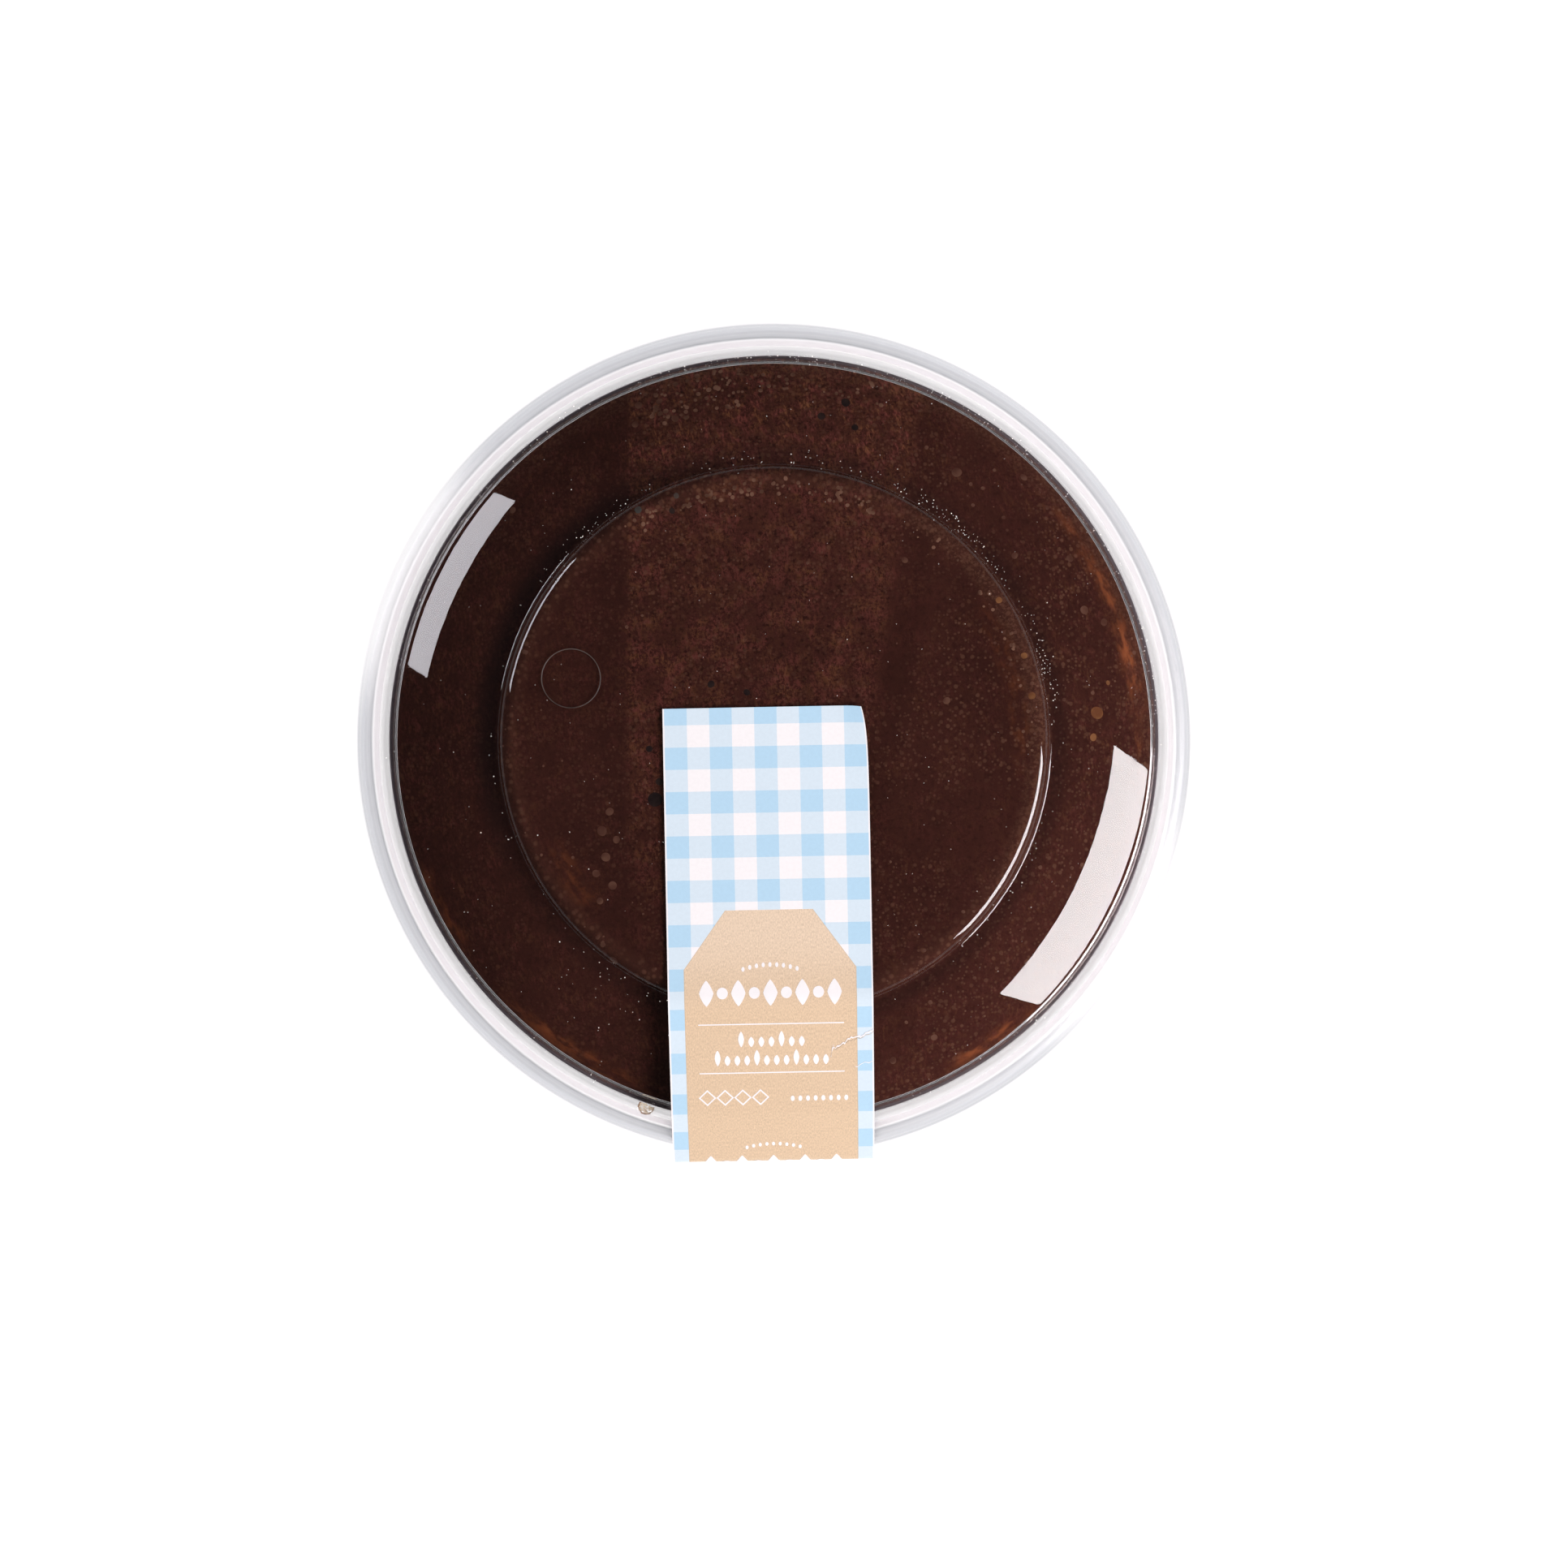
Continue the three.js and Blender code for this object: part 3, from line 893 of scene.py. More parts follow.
def paper_material(name, settings):
    """Gingham with a kraft tag. The map's U is millimetres from the middle line, V from the upper end."""
    material, nodes = new_material(name)
    flat = nodes.add("ShaderNodeUVMap", uv_map=PAPER_MAP).outputs["UV"]
    parts = nodes.parts(flat)
    across, along = parts["X"], parts["Y"]
    half = settings.width / 2

    def stripe(distance, start, side):
        """1 on every second check, counted from start."""
        inside = nodes.math("FRACT", nodes.over(nodes.minus(distance, start), side * 2))
        edge = PRINT_EDGE / (side * 2)
        return nodes.times(nodes.step(inside, 0.0, edge), nodes.step(inside, 0.5 + edge, 0.5))

    columns = stripe(across, WHITE_EDGE - half, 2 * (half - WHITE_EDGE) / CHECK_COLUMNS)
    rows = stripe(along, FIRST_ROW - settings.check, settings.check)
    colour = nodes.mix(nodes.most(columns, rows), rgba(settings.white), rgba(settings.light_blue))
    colour = nodes.mix(nodes.times(columns, rows), colour, rgba(settings.dark_blue))

    off_middle = nodes.math("ABSOLUTE", across)
    below_top = nodes.minus(along, TAG_TOP)
    slant = (TAG_HALF - TAG_TOP_HALF) / (TAG_SHOULDER - TAG_TOP)
    reach = nodes.math("MINIMUM", nodes.times_plus(below_top, slant, TAG_TOP_HALF), TAG_HALF)
    from_side = nodes.minus(reach, off_middle)
    tag = nodes.times(nodes.step(from_side, 0.0, PRINT_EDGE), nodes.step(below_top, 0.0, PRINT_EDGE))
    fibres = nodes.noise(nodes.vector("MULTIPLY", flat, (1.0, 0.45, 1.0)), 4.2, 4.0, 0.7)
    clouds = nodes.noise(flat, 0.22, 3.0, 0.55)
    dark_kraft = rgba(settings.kraft, 0.80)
    kraft = nodes.mix(nodes.step(fibres, 0.3, 0.7), dark_kraft, rgba(settings.kraft, 1.12))
    kraft = nodes.mix(nodes.times(nodes.step(clouds, 0.35, 0.7), 0.3), kraft, rgba(settings.kraft))
    # Painted light, lighter towards the tag's top
    top_light = nodes.mix(nodes.step(along, TOP_LIGHT_START, TOP_LIGHT_FULL), KRAFT_TONE, KRAFT_TOP_LIT_TONE)
    kraft = nodes.mix(1.0, kraft, top_light, "MULTIPLY")
    kraft = nodes.mix(nodes.times(nodes.step(from_side, 0.26, 0.08), 0.7), kraft, dark_kraft)
    colour = nodes.mix(tag, colour, kraft)

    white_edge = nodes.step(nodes.minus(half, off_middle), WHITE_EDGE, WHITE_EDGE - PRINT_EDGE)
    colour = nodes.mix(white_edge, colour, rgba(settings.white))
    shade = nodes.times_plus(nodes.step(nodes.noise(flat, 1.4, 3.0), 0.3, 0.7), 0.03, 0.97)
    grey = nodes.add("ShaderNodeCombineColor", {"Red": shade, "Green": shade, "Blue": shade})
    colour = nodes.mix(1.0, colour, grey.outputs["Color"], "MULTIPLY")
    nodes.surface(nodes.principled({
        "Base Color": colour,
        "Roughness": nodes.times_plus(fibres, 0.15, 0.45),
        "Normal": nodes.bump(nodes.times_plus(fibres, 0.5, clouds), 0.25, 0.12 * MM),
        "Specular IOR Level": 0.35,
    }))
    return material


FLOOR_LIGHT = (1.0, 0.995, 1.0, 1.0)


def floor_material(name, settings):
    """A floor that shines by itself, and that reflections hardly show away from the tub."""
    material, nodes = new_material(name)
    place = nodes.place()
    mottle = nodes.step(nodes.noise(place, 3.0, 3.0), 0.3, 0.7)
    mirrored = nodes.add("ShaderNodeLightPath").outputs["Is Glossy Ray"]
    far = nodes.edge(nodes.vector("LENGTH", place), 110.0, 240.0)
    hidden = nodes.times(mirrored, far, 0.93)
    nodes.surface(nodes.principled({
        "Base Color": nodes.mix(mottle, rgba(settings.floor, 0.985), rgba(settings.floor)),
        "Roughness": 0.8,
        "Specular IOR Level": 0.1,
        "Emission Color": FLOOR_LIGHT,
        "Emission Strength": nodes.times(nodes.minus(1.0, hidden), settings.floor_glow),
    }))
    return material


# Paper strip, along its middle line


STRIP_START = 6.9
STRIP_SIDE = -1.7
STRIP_TURN = 1.1
STRIP_LIFT = 0.06
STRIP_END_HEIGHT = STRIP_LOW.z + 0.5
# Bends over the lid: distance from the axis where each starts, radius, slope after it, steps
STRIP_BENDS = ((46.0, 24.0, -3.0, 4), (52.4, 7.0, 18.6, 8), (77.2, 7.0, 33.0, 5))
FOLD_INSET = 0.3
FOLD_BEND = 1.6


def strip_path():
    """Middle line of the strip's underside, as distance in front of the axis and height."""
    path = Outline(-STRIP_START, PLATEAU_TOP + STRIP_LIFT)
    for distance, radius, slope, steps in STRIP_BENDS:
        path.line_to_radius(distance).bend(radius, slope, steps)
    path.line_to_radius(RIM_RADIUS - FOLD_INSET)
    fold_x, fold_y = path.points[-1]
    fold_slope = math.radians(path.slope)
    fold_centre = Vector((
        fold_x - FOLD_BEND * math.sin(fold_slope),
        fold_y - FOLD_BEND * math.cos(fold_slope),
    ))
    wall_slope = math.radians(WALL_LOW_SLOPE)
    wall_centre = Vector((
        FOOT_RADIUS + (FOOT_BEND - WALL_BEND) * math.sin(wall_slope),
        FOOT_BEND + (WALL_BEND - FOOT_BEND) * math.cos(wall_slope),
    ))
    wall_bend = WALL_BEND + STRIP_LIFT
    centres = wall_centre - fold_centre
    swing = math.asin((wall_bend - FOLD_BEND) / centres.length)
    touch = 360.0 - math.degrees(math.atan2(centres.y, centres.x) + swing)
    end = 180.0 - math.degrees(math.acos((wall_centre.y - STRIP_END_HEIGHT) / wall_bend))
    fold_first = len(path.points) - 1
    path.bend(FOLD_BEND, touch, 10)
    path.line_to_height(wall_centre.y + wall_bend * math.cos(math.radians(touch)))
    wall_first = len(path.points) - 1
    path.bend(wall_bend, end, 8)
    clear = [
        (x, max(z, height_at(LID_SKIN, abs(x)) + STRIP_LIFT)) if i <= fold_first else (x, z)
        for i, (x, z) in enumerate(path.points)
    ]
    return clear, fold_first, wall_first


# How far the print runs ahead of the paper where creases gather it: length along the strip, print ahead
PRINT_AHEAD = ((0.0, 0.0), (58.6, 0.1), (62.5, 0.95), (67.0, 0.85), (72.5, 0.2), (90.0, 0.1), (99.0, -0.3))
# The upper right corner curls up, which draws it inwards
CORNER_WIDTH = 5.5
CORNER_LENGTH = 4.6
CORNER_PULL = 1.35
CORNER_SLIDE = 0.2
CORNER_RISE = 0.26
CORNER_RISE_ACROSS = 9.0
CORNER_RISE_ALONG = 60.0
# The long edges lie in slack waves as far as the rim: turn for each millimetre, and where it starts
WAVE_RISE = 0.07
WAVE_TURN = 0.55
WAVE_PHASE_RIGHT = 1.3
WAVE_PHASE_LEFT = 2.86
WAVE_END = 95.0


def print_place(along):
    return along + float(np.interp(along, *zip(*PRINT_AHEAD)))


class StripBend:
    """Carries points of the flat paper onto the bent strip."""

    def __init__(self, settings):
        points, fold_first, wall_first = strip_path()
        self.half = settings.width / 2
        self.points = [Vector(p) for p in points]
        lengths = [0.0]
        for before, after in zip(self.points, self.points[1:]):
            lengths.append(lengths[-1] + (after - before).length)
        self.lengths = np.array(lengths)
        self.length = lengths[-1]
        self.fold = lengths[fold_first]
        self.wall = lengths[wall_first]
        outside = offset_outline(points, 1.0)
        self.normals = [Vector(p) - q for p, q in zip(outside, self.points)]

    def between(self, along, values):
        return np.interp(along, self.lengths, values)

    def corner_pull(self, across, along):
        """How far the curled corner draws its long edge inwards."""
        share = max(across - self.half + CORNER_WIDTH, 0.0) / CORNER_WIDTH
        return CORNER_PULL * share * share * math.exp(-along / CORNER_LENGTH)

    def wave(self, across, along):
        """Small lifts of the paper: its curled corner and slack edges."""
        off_corner = ((self.half - across) ** 2) / CORNER_RISE_ACROSS
        corner = math.exp(-off_corner - (along ** 2) / CORNER_RISE_ALONG)
        edge = (abs(across) / self.half) ** 6
        phase = WAVE_PHASE_RIGHT if across > 0 else WAVE_PHASE_LEFT
        slack = 0.5 + 0.5 * math.sin(along * WAVE_TURN + phase)
        return CORNER_RISE * corner + (WAVE_RISE * edge * slack if along < WAVE_END else 0.0)

    def place(self, across, along, lift=0.0):
        """A point of the bent paper, in the frame, from flat millimetres and a lift off its underside."""
        along = min(max(along, 0.0), self.length)
        x = self.between(along, [p.x for p in self.points])
        z = self.between(along, [p.y for p in self.points])
        nx = self.between(along, [n.x for n in self.normals])
        nz = self.between(along, [n.y for n in self.normals])
        curl = min(max((along - self.fold) / (self.wall - self.fold), 0.0), 1.0)
        curl = curl * curl * (3 - 2 * curl)
        aside = across + STRIP_SIDE
        sag = abs(x) - math.sqrt(max(x * x - aside * aside, 0.0))
        pull = self.corner_pull(across, along)
        distance = x + nx * lift + CORNER_SLIDE * pull - (curl * sag if along > self.fold else 0.0)
        point = Vector((aside - pull, -distance, z + nz * lift))
        point.z += self.wave(across, along)
        return Matrix.Rotation(math.radians(STRIP_TURN), 3, "Z") @ point * MM

    def carry(self, piece, lift=0.0):
        for vertex in piece.data.vertices:
            flat = vertex.co / MM
            vertex.co = self.place(flat.x, -flat.y, flat.z + lift)
        piece.data.update()


# Operators


def clear_shell(context, name, skin, upwards, node):
    """Turns one skin of clear plastic, thickened inwards, in the place of a solid."""
    tub = context.scene.mousse_tub
    piece = turned_piece(name, skin, tub.segments)
    face_up(piece, upwards)
    thicken(piece, tub.wall, -1.0, True)
    smooth(piece)
    finish_piece(piece, CLEAR_SLOT, shared("formed_plastic", clear_plastic, tub), node)


class MOUSSE_OT_bowl(bpy.types.Operator):
    """Model the clear bowl: one thin skin from the flat base to the edge of its flange"""

    bl_idname = "mousse.bowl"
    bl_label = "Clear bowl"

    def execute(self, context):
        clear_shell(context, "tub_bowl", BOWL_SKIN, False, "bowl")
        return {"FINISHED"}


class MOUSSE_OT_lid(bpy.types.Operator):
    """Model the clear two-tier lid with its plateau, shoulder, groove, flange and skirt"""

    bl_idname = "mousse.lid"
    bl_label = "Clear lid"

    def execute(self, context):
        clear_shell(context, "tub_lid", LID_SKIN, True, "lid")
        return {"FINISHED"}


RING_MARK = (-42.0, 12.8)
RING_MARK_RADIUS = 6.1
RING_MARK_BEAD = 0.10
RING_MARK_FLATTENING = 0.7


class MOUSSE_OT_ring_mark(bpy.types.Operator):
    """Model the thin round bead that the mould left on the plateau"""

    bl_idname = "mousse.ring_mark"
    bl_label = "Moulded ring"

    def execute(self, context):
        deselect()
        x, y = RING_MARK
        bpy.ops.mesh.primitive_torus_add(
            location=(x * MM, y * MM, PLATEAU_TOP * MM), major_radius=RING_MARK_RADIUS * MM,
            minor_radius=RING_MARK_BEAD * MM, major_segments=96, minor_segments=10)
        piece = active_piece("lid_ring_mark")
        edit_all()
        bpy.ops.transform.resize(value=(1, 1, RING_MARK_FLATTENING))
        leave_edit()
        bpy.ops.object.transform_apply(location=True, rotation=True, scale=True)
        smooth(piece, 80.0)
        frosted = shared("frosted_bead", speck_material, (0.088, 0.064, 0.056), (0.05, 0.032, 0.027))
        finish_piece(piece, CLEAR_SLOT, frosted)
        return {"FINISHED"}


class MOUSSE_OT_mousse(bpy.types.Operator):
    """Model the mousse that fills the bowl and the dome of the lid"""

    bl_idname = "mousse.mousse"
    bl_label = "Mousse"

    def execute(self, context):
        look = context.scene.mousse_look
        top, wall = mousse_outlines(look.depth)
        piece = turned_piece("mousse_filling", top + wall, context.scene.mousse_tub.segments)
        smooth(piece, 50.0)
        finish_piece(piece, MOUSSE_SLOT, shared("airy_mousse", mousse_material, look), "mousse")
        return {"FINISHED"}


# Kinds of bubbles: colour, the colour that it varies to, and how far a placed bubble stands out
BUBBLE_KINDS = {
    "faint": ((0.115, 0.054, 0.036), (0.066, 0.026, 0.018), 0.05),
    "pale": ((0.20, 0.088, 0.036), (0.12, 0.045, 0.020), 0.06),
    "dark": ((0.012, 0.008, 0.008), (0.026, 0.016, 0.014), 0.05),
    "grey": ((0.075, 0.080, 0.072), (0.070, 0.050, 0.042), 0.05),
    "foam": ((0.185, 0.095, 0.062), (0.085, 0.040, 0.026), 0.04),
}
# Bubbles with places of their own: x, y, radius
FAINT_BUBBLES = (
    (38.1, 55.8, 1.2), (64.9, 27.2, 1.0), (69.1, 24.7, 0.9), (52.4, 55.1, 0.9), (27.1, 37.3, 0.8),
    (-34.0, -14.8, 1.0), (-35.6, -18.8, 1.2), (-32.6, -20.6, 0.9), (-34.8, -24.2, 1.1), (-36.8, -27.6, 0.9),
    (-33.4, -30.1, 1.0), (-36.0, -33.3, 0.8), (35.8, 8.2, 0.9), (50.1, 38.4, 0.8), (61.9, 38.0, 0.9),
    (-33.2, -45.6, 1.0), (-54.6, 48.1, 0.8), (24.9, -66.9, 0.9), (33.5, -62.1, 0.8), (52.9, -46.4, 0.8),
    (63.3, -38.0, 0.7), (-28.4, 70.2, 0.9), (-24.0, 71.0, 0.8), (-20.6, 67.2, 0.9), (-29.0, 66.0, 0.8),
)
PALE_BUBBLES = (
    (67.4, 5.7, 1.45), (69.8, 12.0, 0.55), (66.6, 0.6, 0.9), (53.4, 9.2, 0.8), (51.8, 17.5, 0.7),
    (46.6, 29.0, 0.7),
)
DARK_BUBBLES = (
    (-24.6, -12.3, 1.7), (-25.8, -1.8, 0.75), (-21.1, 47.5, 0.75), (-23.7, -8.6, 0.9),
    (9.9, 67.6, 0.9), (15.0, 70.6, 1.1), (16.9, 65.2, 0.8), (-13.0, 11.6, 0.9), (-5.6, 9.9, 0.8),
)
GREY_BUBBLES = ((-28.1, 47.7, 0.8), (-20.2, 50.6, 0.6))
# Foam of many bubbles: ring radius, spread of radius, middle angle, spread of angle, number, size
FOAM_BUBBLES = (
    (74.0, 4.5, 102.0, 9.0, 70, 0.62),
    (76.0, 2.8, 84.0, 12.0, 40, 0.5),
    (52.6, 1.7, 96.0, 30.0, 90, 0.48),
    (52.8, 1.4, 30.0, 34.0, 34, 0.4),
)
FOAM_LIMIT = 79.0
# Scattered bubbles: shares in the plateau's edge and on the shoulder, the rest lie under the plateau
EDGE_SHARE = 0.3
SHOULDER_SHARE = 0.5
BUBBLE_LIMIT = 78.5
SCATTERED_RISE = 0.03


def bubble_place(draw):
    """Distance from the axis and angle of a scattered bubble; the shoulder has most on the right."""
    where = draw.random()
    if where < EDGE_SHARE:
        return draw.gauss(54.6, 1.1), draw.uniform(0, 360)
    if where < EDGE_SHARE + SHOULDER_SHARE:
        return math.sqrt(draw.uniform(61.0 ** 2, BUBBLE_LIMIT ** 2)), draw.triangular(-75, 110, 20)
    return 53.0 * math.sqrt(draw.random()), draw.uniform(0, 360)


class MOUSSE_OT_bubbles(bpy.types.Operator):
    """Press round air bubbles of many sizes against the underside of the lid"""

    bl_idname = "mousse.bubbles"
    bl_label = "Air bubbles"

    def execute(self, context):
        look = context.scene.mousse_look
        draw = random.Random(look.seed)
        top = mousse_outlines(look.depth)[0]
        shape = lump(1.0, 18, 3)
        groups = {kind: Scatter() for kind in BUBBLE_KINDS}

        def add(kind, x, y, radius, rise):
            size = Matrix.Diagonal((radius, radius * draw.uniform(0.85, 1.0), rise, 1.0))
            spin = Matrix.Rotation(draw.uniform(0, math.tau), 4, "Z")
            groups[kind].add(shape, on_surface(top, x, y, 0.02) @ spin @ size)

        def add_placed(kind, bubbles):
            for x, y, radius in bubbles:
                add(kind, x, y, radius, BUBBLE_KINDS[kind][2])

        add_placed("faint", FAINT_BUBBLES)
        for _ in range(look.bubbles):
            radius_from_axis, angle = bubble_place(draw)
            x, y = polar(min(radius_from_axis, BUBBLE_LIMIT), angle)
            add("faint", x, y, min(0.16 + draw.expovariate(7.0), 0.6), SCATTERED_RISE)
        for ring, spread, middle, reach, number, size in FOAM_BUBBLES:
            for _ in range(number):
                radius_from_axis = min(ring + draw.uniform(-spread, spread), FOAM_LIMIT)
                x, y = polar(radius_from_axis, middle + draw.uniform(-reach, reach))
                add("foam", x, y, size * draw.uniform(0.5, 1.2), BUBBLE_KINDS["foam"][2])
        add_placed("pale", PALE_BUBBLES)
        add_placed("dark", DARK_BUBBLES)
        add_placed("grey", GREY_BUBBLES)
        for kind, (colour, variation, _) in BUBBLE_KINDS.items():
            name = "mousse_bubbles_" + kind
            piece = groups[kind].piece(name)
            smooth(piece, 60.0)
            finish_piece(piece, MOUSSE_SLOT, shared(name, speck_material, colour, variation, 0.5, 0.0))
        return {"FINISHED"}


# Clusters of pale specks: radius, spread of radius, middle angle, spread of angle, number
SPECK_CLUSTERS = (
    (58.6, 0.8, 14.0, 5.0, 56),
    (58.8, 0.9, 54.0, 7.0, 50),
    (58.9, 0.7, 88.0, 16.0, 42),
    (58.6, 0.7, 36.0, 12.0, 46),
    (58.5, 0.7, 128.0, 12.0, 40),
    (58.8, 0.8, 190.0, 14.0, 12),
    (59.4, 1.2, 232.0, 8.0, 18),
    (58.6, 0.7, 330.0, 16.0, 26),
    (80.7, 0.5, 75.0, 30.0, 130),
    (80.8, 0.5, 20.0, 25.0, 80),
    (80.7, 0.5, 130.0, 20.0, 30),
    (80.7, 0.5, 330.0, 20.0, 40),
    (80.7, 0.5, 240.0, 40.0, 26),
    (70.0, 5.0, 240.0, 12.0, 12),
    (62.0, 3.0, 238.0, 8.0, 10),
)
LOOSE_SPECKS = 240
LOOSE_SPECK_LIMIT = 82.0


class MOUSSE_OT_specks(bpy.types.Operator):
    """Scatter pale specks of dust and tiny drops over the lid, thickest in its hollow corners"""

    bl_idname = "mousse.specks"
    bl_label = "Specks"

    def execute(self, context):
        draw = random.Random(context.scene.mousse_look.seed + 1)
        specks = Scatter()
        shape = lump(1.0, 5, 1)

        def add(radius_from_axis, angle, size):
            x, y = polar(radius_from_axis, angle)
            grow = Matrix.Diagonal((size, size * draw.uniform(0.6, 1.0), size * 0.7, 1.0))
            spin = Matrix.Rotation(draw.uniform(0, math.tau), 4, "Z")
            specks.add(shape, on_surface(LID_SKIN, x, y) @ spin @ grow)

        for radius, radius_spread, middle, angle_spread, number in SPECK_CLUSTERS:
            for _ in range(number):
                size = min(0.045 + draw.expovariate(32.0), 0.13)
                add(draw.gauss(radius, radius_spread), draw.gauss(middle, angle_spread), size)
        for _ in range(LOOSE_SPECKS):
            radius_from_axis = LOOSE_SPECK_LIMIT * math.sqrt(draw.random())
            add(radius_from_axis, draw.uniform(-70, 250), 0.04 + draw.expovariate(50.0))
        piece = specks.piece("lid_specks")
        # The specks shine by themselves: painted glints
        pale = shared("pale_specks", speck_material, (0.92, 0.9, 0.88), (0.75, 0.66, 0.6), 0.4, 0.5, 0.9)
        finish_piece(piece, MOUSSE_SLOT, pale)
        return {"FINISHED"}


# Leaked foam: a half disc of bubbles, cut off where the lid plugs the bowl
FOAM_MIDDLE = (-26.9, -77.3)
FOAM_RADIUS = 1.6
FOAM_INNER_EDGE = 81.4
FOAM_TOP = FLANGE_TOP - 0.5
FOAM_INSIDE = 60
FOAM_ROUND = 34
FOAM_ACROSS = 7
FOAM_COLOURS = {
    "foam_clump": ((0.80, 0.66, 0.50), (0.92, 0.84, 0.74)),
    "foam_outline": ((0.28, 0.14, 0.06), (0.45, 0.27, 0.14)),
}


class MOUSSE_OT_foam(bpy.types.Operator):
    """Build the small clump of foam that leaked under the clear flange"""

    bl_idname = "mousse.foam"
    bl_label = "Leaked foam"

    def execute(self, context):
        draw = random.Random(context.scene.mousse_look.seed + 2)
        shape = lump(0.8, 10, 3)
        groups = {name: Scatter() for name in FOAM_COLOURS}

        def add(name, radius_from_middle, angle, low, high):
            place = Vector(FOAM_MIDDLE) + Vector(polar(radius_from_middle, angle))
            radius = draw.uniform(low, high)
            if place.length > FOAM_INNER_EDGE:
                shift = Matrix.Translation((place.x, place.y, FOAM_TOP - radius * 0.75))
                groups[name].add(shape, shift @ Matrix.Diagonal((radius, radius, radius * 0.8, 1.0)))

        for _ in range(FOAM_INSIDE):
            add("foam_clump", FOAM_RADIUS * math.sqrt(draw.random()), draw.uniform(0, 360), 0.16, 0.34)
        for i in range(FOAM_ROUND):
            radius_from_middle = FOAM_RADIUS + draw.uniform(-0.06, 0.06)
            add("foam_outline", radius_from_middle, 360 * i / FOAM_ROUND, 0.13, 0.2)
        for _ in range(FOAM_ACROSS):
            radius_from_middle = FOAM_RADIUS * draw.uniform(0.4, 0.8)
            add("foam_outline", radius_from_middle, draw.uniform(180, 360), 0.1, 0.16)
        for name, (colour, variation) in FOAM_COLOURS.items():
            piece = groups[name].piece(name)
            smooth(piece, 60.0)
            # The foam shines faintly by itself: painted light
            foam = shared(name, speck_material, colour, variation, 0.35, 0.5, 0.15)
            finish_piece(piece, MOUSSE_SLOT, foam)
        return {"FINISHED"}


STRIP_COLUMNS = 32
STRIP_ROWS = 200


class MOUSSE_OT_strip(bpy.types.Operator):
    """Bend the printed paper strip over plateau, shoulder and rim and down the bowl"""

    bl_idname = "mousse.strip"
    bl_label = "Paper strip"

    def execute(self, context):
        settings = context.scene.mousse_strip
        bend = StripBend(settings)
        deselect()
        bpy.ops.mesh.primitive_grid_add(
            x_subdivisions=STRIP_COLUMNS, y_subdivisions=STRIP_ROWS, size=1.0, location=(0, 0, 0))
        piece = active_piece("strip_paper")
        edit_all()
        bpy.ops.transform.resize(value=(settings.width * MM, bend.length * MM, 1.0))
        bpy.ops.transform.translate(value=(0.0, -0.5 * bend.length * MM, 0.0))
        leave_edit()
        layer = piece.data.uv_layers[0]
        layer.name = PAPER_MAP
        for loop, uv in zip(piece.data.loops, layer.uv):
            flat = piece.data.vertices[loop.vertex_index].co
            uv.vector = (flat.x / MM, print_place(-flat.y / MM))
        bend.carry(piece)
        face_up(piece, True)
        thicken(piece, settings.paper, 1.0)
        smooth(piece, 50.0)
        finish_piece(piece, PAPER_SLOT, shared("printed_paper", paper_material, settings), "strip")
        return {"FINISHED"}


def bar_faces(steps):
    """Faces of a closed bar whose vertices come in fours, one four at each step along it."""
    faces = [(0, 1, 3, 2)]
    for i in range(steps):
        a = 4 * i
        faces += [(a, a + 4, a + 5, a + 1), (a + 2, a + 3, a + 7, a + 6),
                  (a, a + 2, a + 6, a + 4), (a + 1, a + 5, a + 7, a + 3)]
    last = 4 * steps
    faces.append((last, last + 2, last + 3, last + 1))
    return faces


INK = 0.02


def spindle(x, y, half_width, half_height, power, slices=8):
    """A closed flat shape between a lozenge (power 1), an ellipse (2) and a rounded bar (4 and more)."""
    vertices = []
    for i in range(slices + 1):
        reach = -math.cos(math.pi * i / slices)
        wide = half_width * (1.0 - min(abs(reach), 0.999) ** power) ** (1.0 / power)
        for side in (-1.0, 1.0):
            for height in (0.0, INK):
                vertices.append(Vector((x + side * wide, -(y + half_height * reach), height)))
    return vertices, bar_faces(slices)


def flat_ring(x, y, outer, inner, sides):
    """A closed flat ring, or an open lozenge with four sides."""
    vertices = []
    for height in (0.0, INK):
        for radius in (outer, inner):
            for side in range(sides):
                angle = math.tau * side / sides
                right, down = radius * math.cos(angle), radius * math.sin(angle)
                vertices.append(Vector((x + right, -(y + down), height)))
    faces = []
    for side in range(sides):
        after = (side + 1) % sides
        outer_low, inner_low, outer_high, inner_high = (side + sides * k for k in range(4))
        next_outer, next_inner = after, after + sides
        next_outer_high, next_inner_high = next_outer + 2 * sides, next_inner + 2 * sides
        faces.append((outer_low, next_outer, next_inner, inner_low))
        faces.append((outer_high, inner_high, next_inner_high, next_outer_high))
        faces.append((outer_low, outer_high, next_outer_high, next_outer))
        faces.append((inner_low, next_inner, next_inner_high, inner_high))
    return vertices, faces


def ragged_ribbon(start, end, width, steps, draw, thickness):
    """A closed thin ribbon whose two edges are torn unevenly."""
    vertices = []
    for i in range(steps + 1):
        share = i / steps
        x = start[0] + (end[0] - start[0]) * share
        straight = start[1] + (end[1] - start[1]) * share
        y = straight + draw.gauss(0, 0.13) + 0.5 * math.sin(share * 9.0) * share
        wide = width * draw.uniform(0.35, 1.0) * (1.0 - 0.4 * share)
        for side in (-0.5, 0.5):
            for height in (0.0, thickness):
                vertices.append(Vector((x, -(y + side * wide), height)))
    return vertices, bar_faces(steps)


# How far a mark starts below the paper's upper face, so that no gap shows
MARK_SINK = 0.002


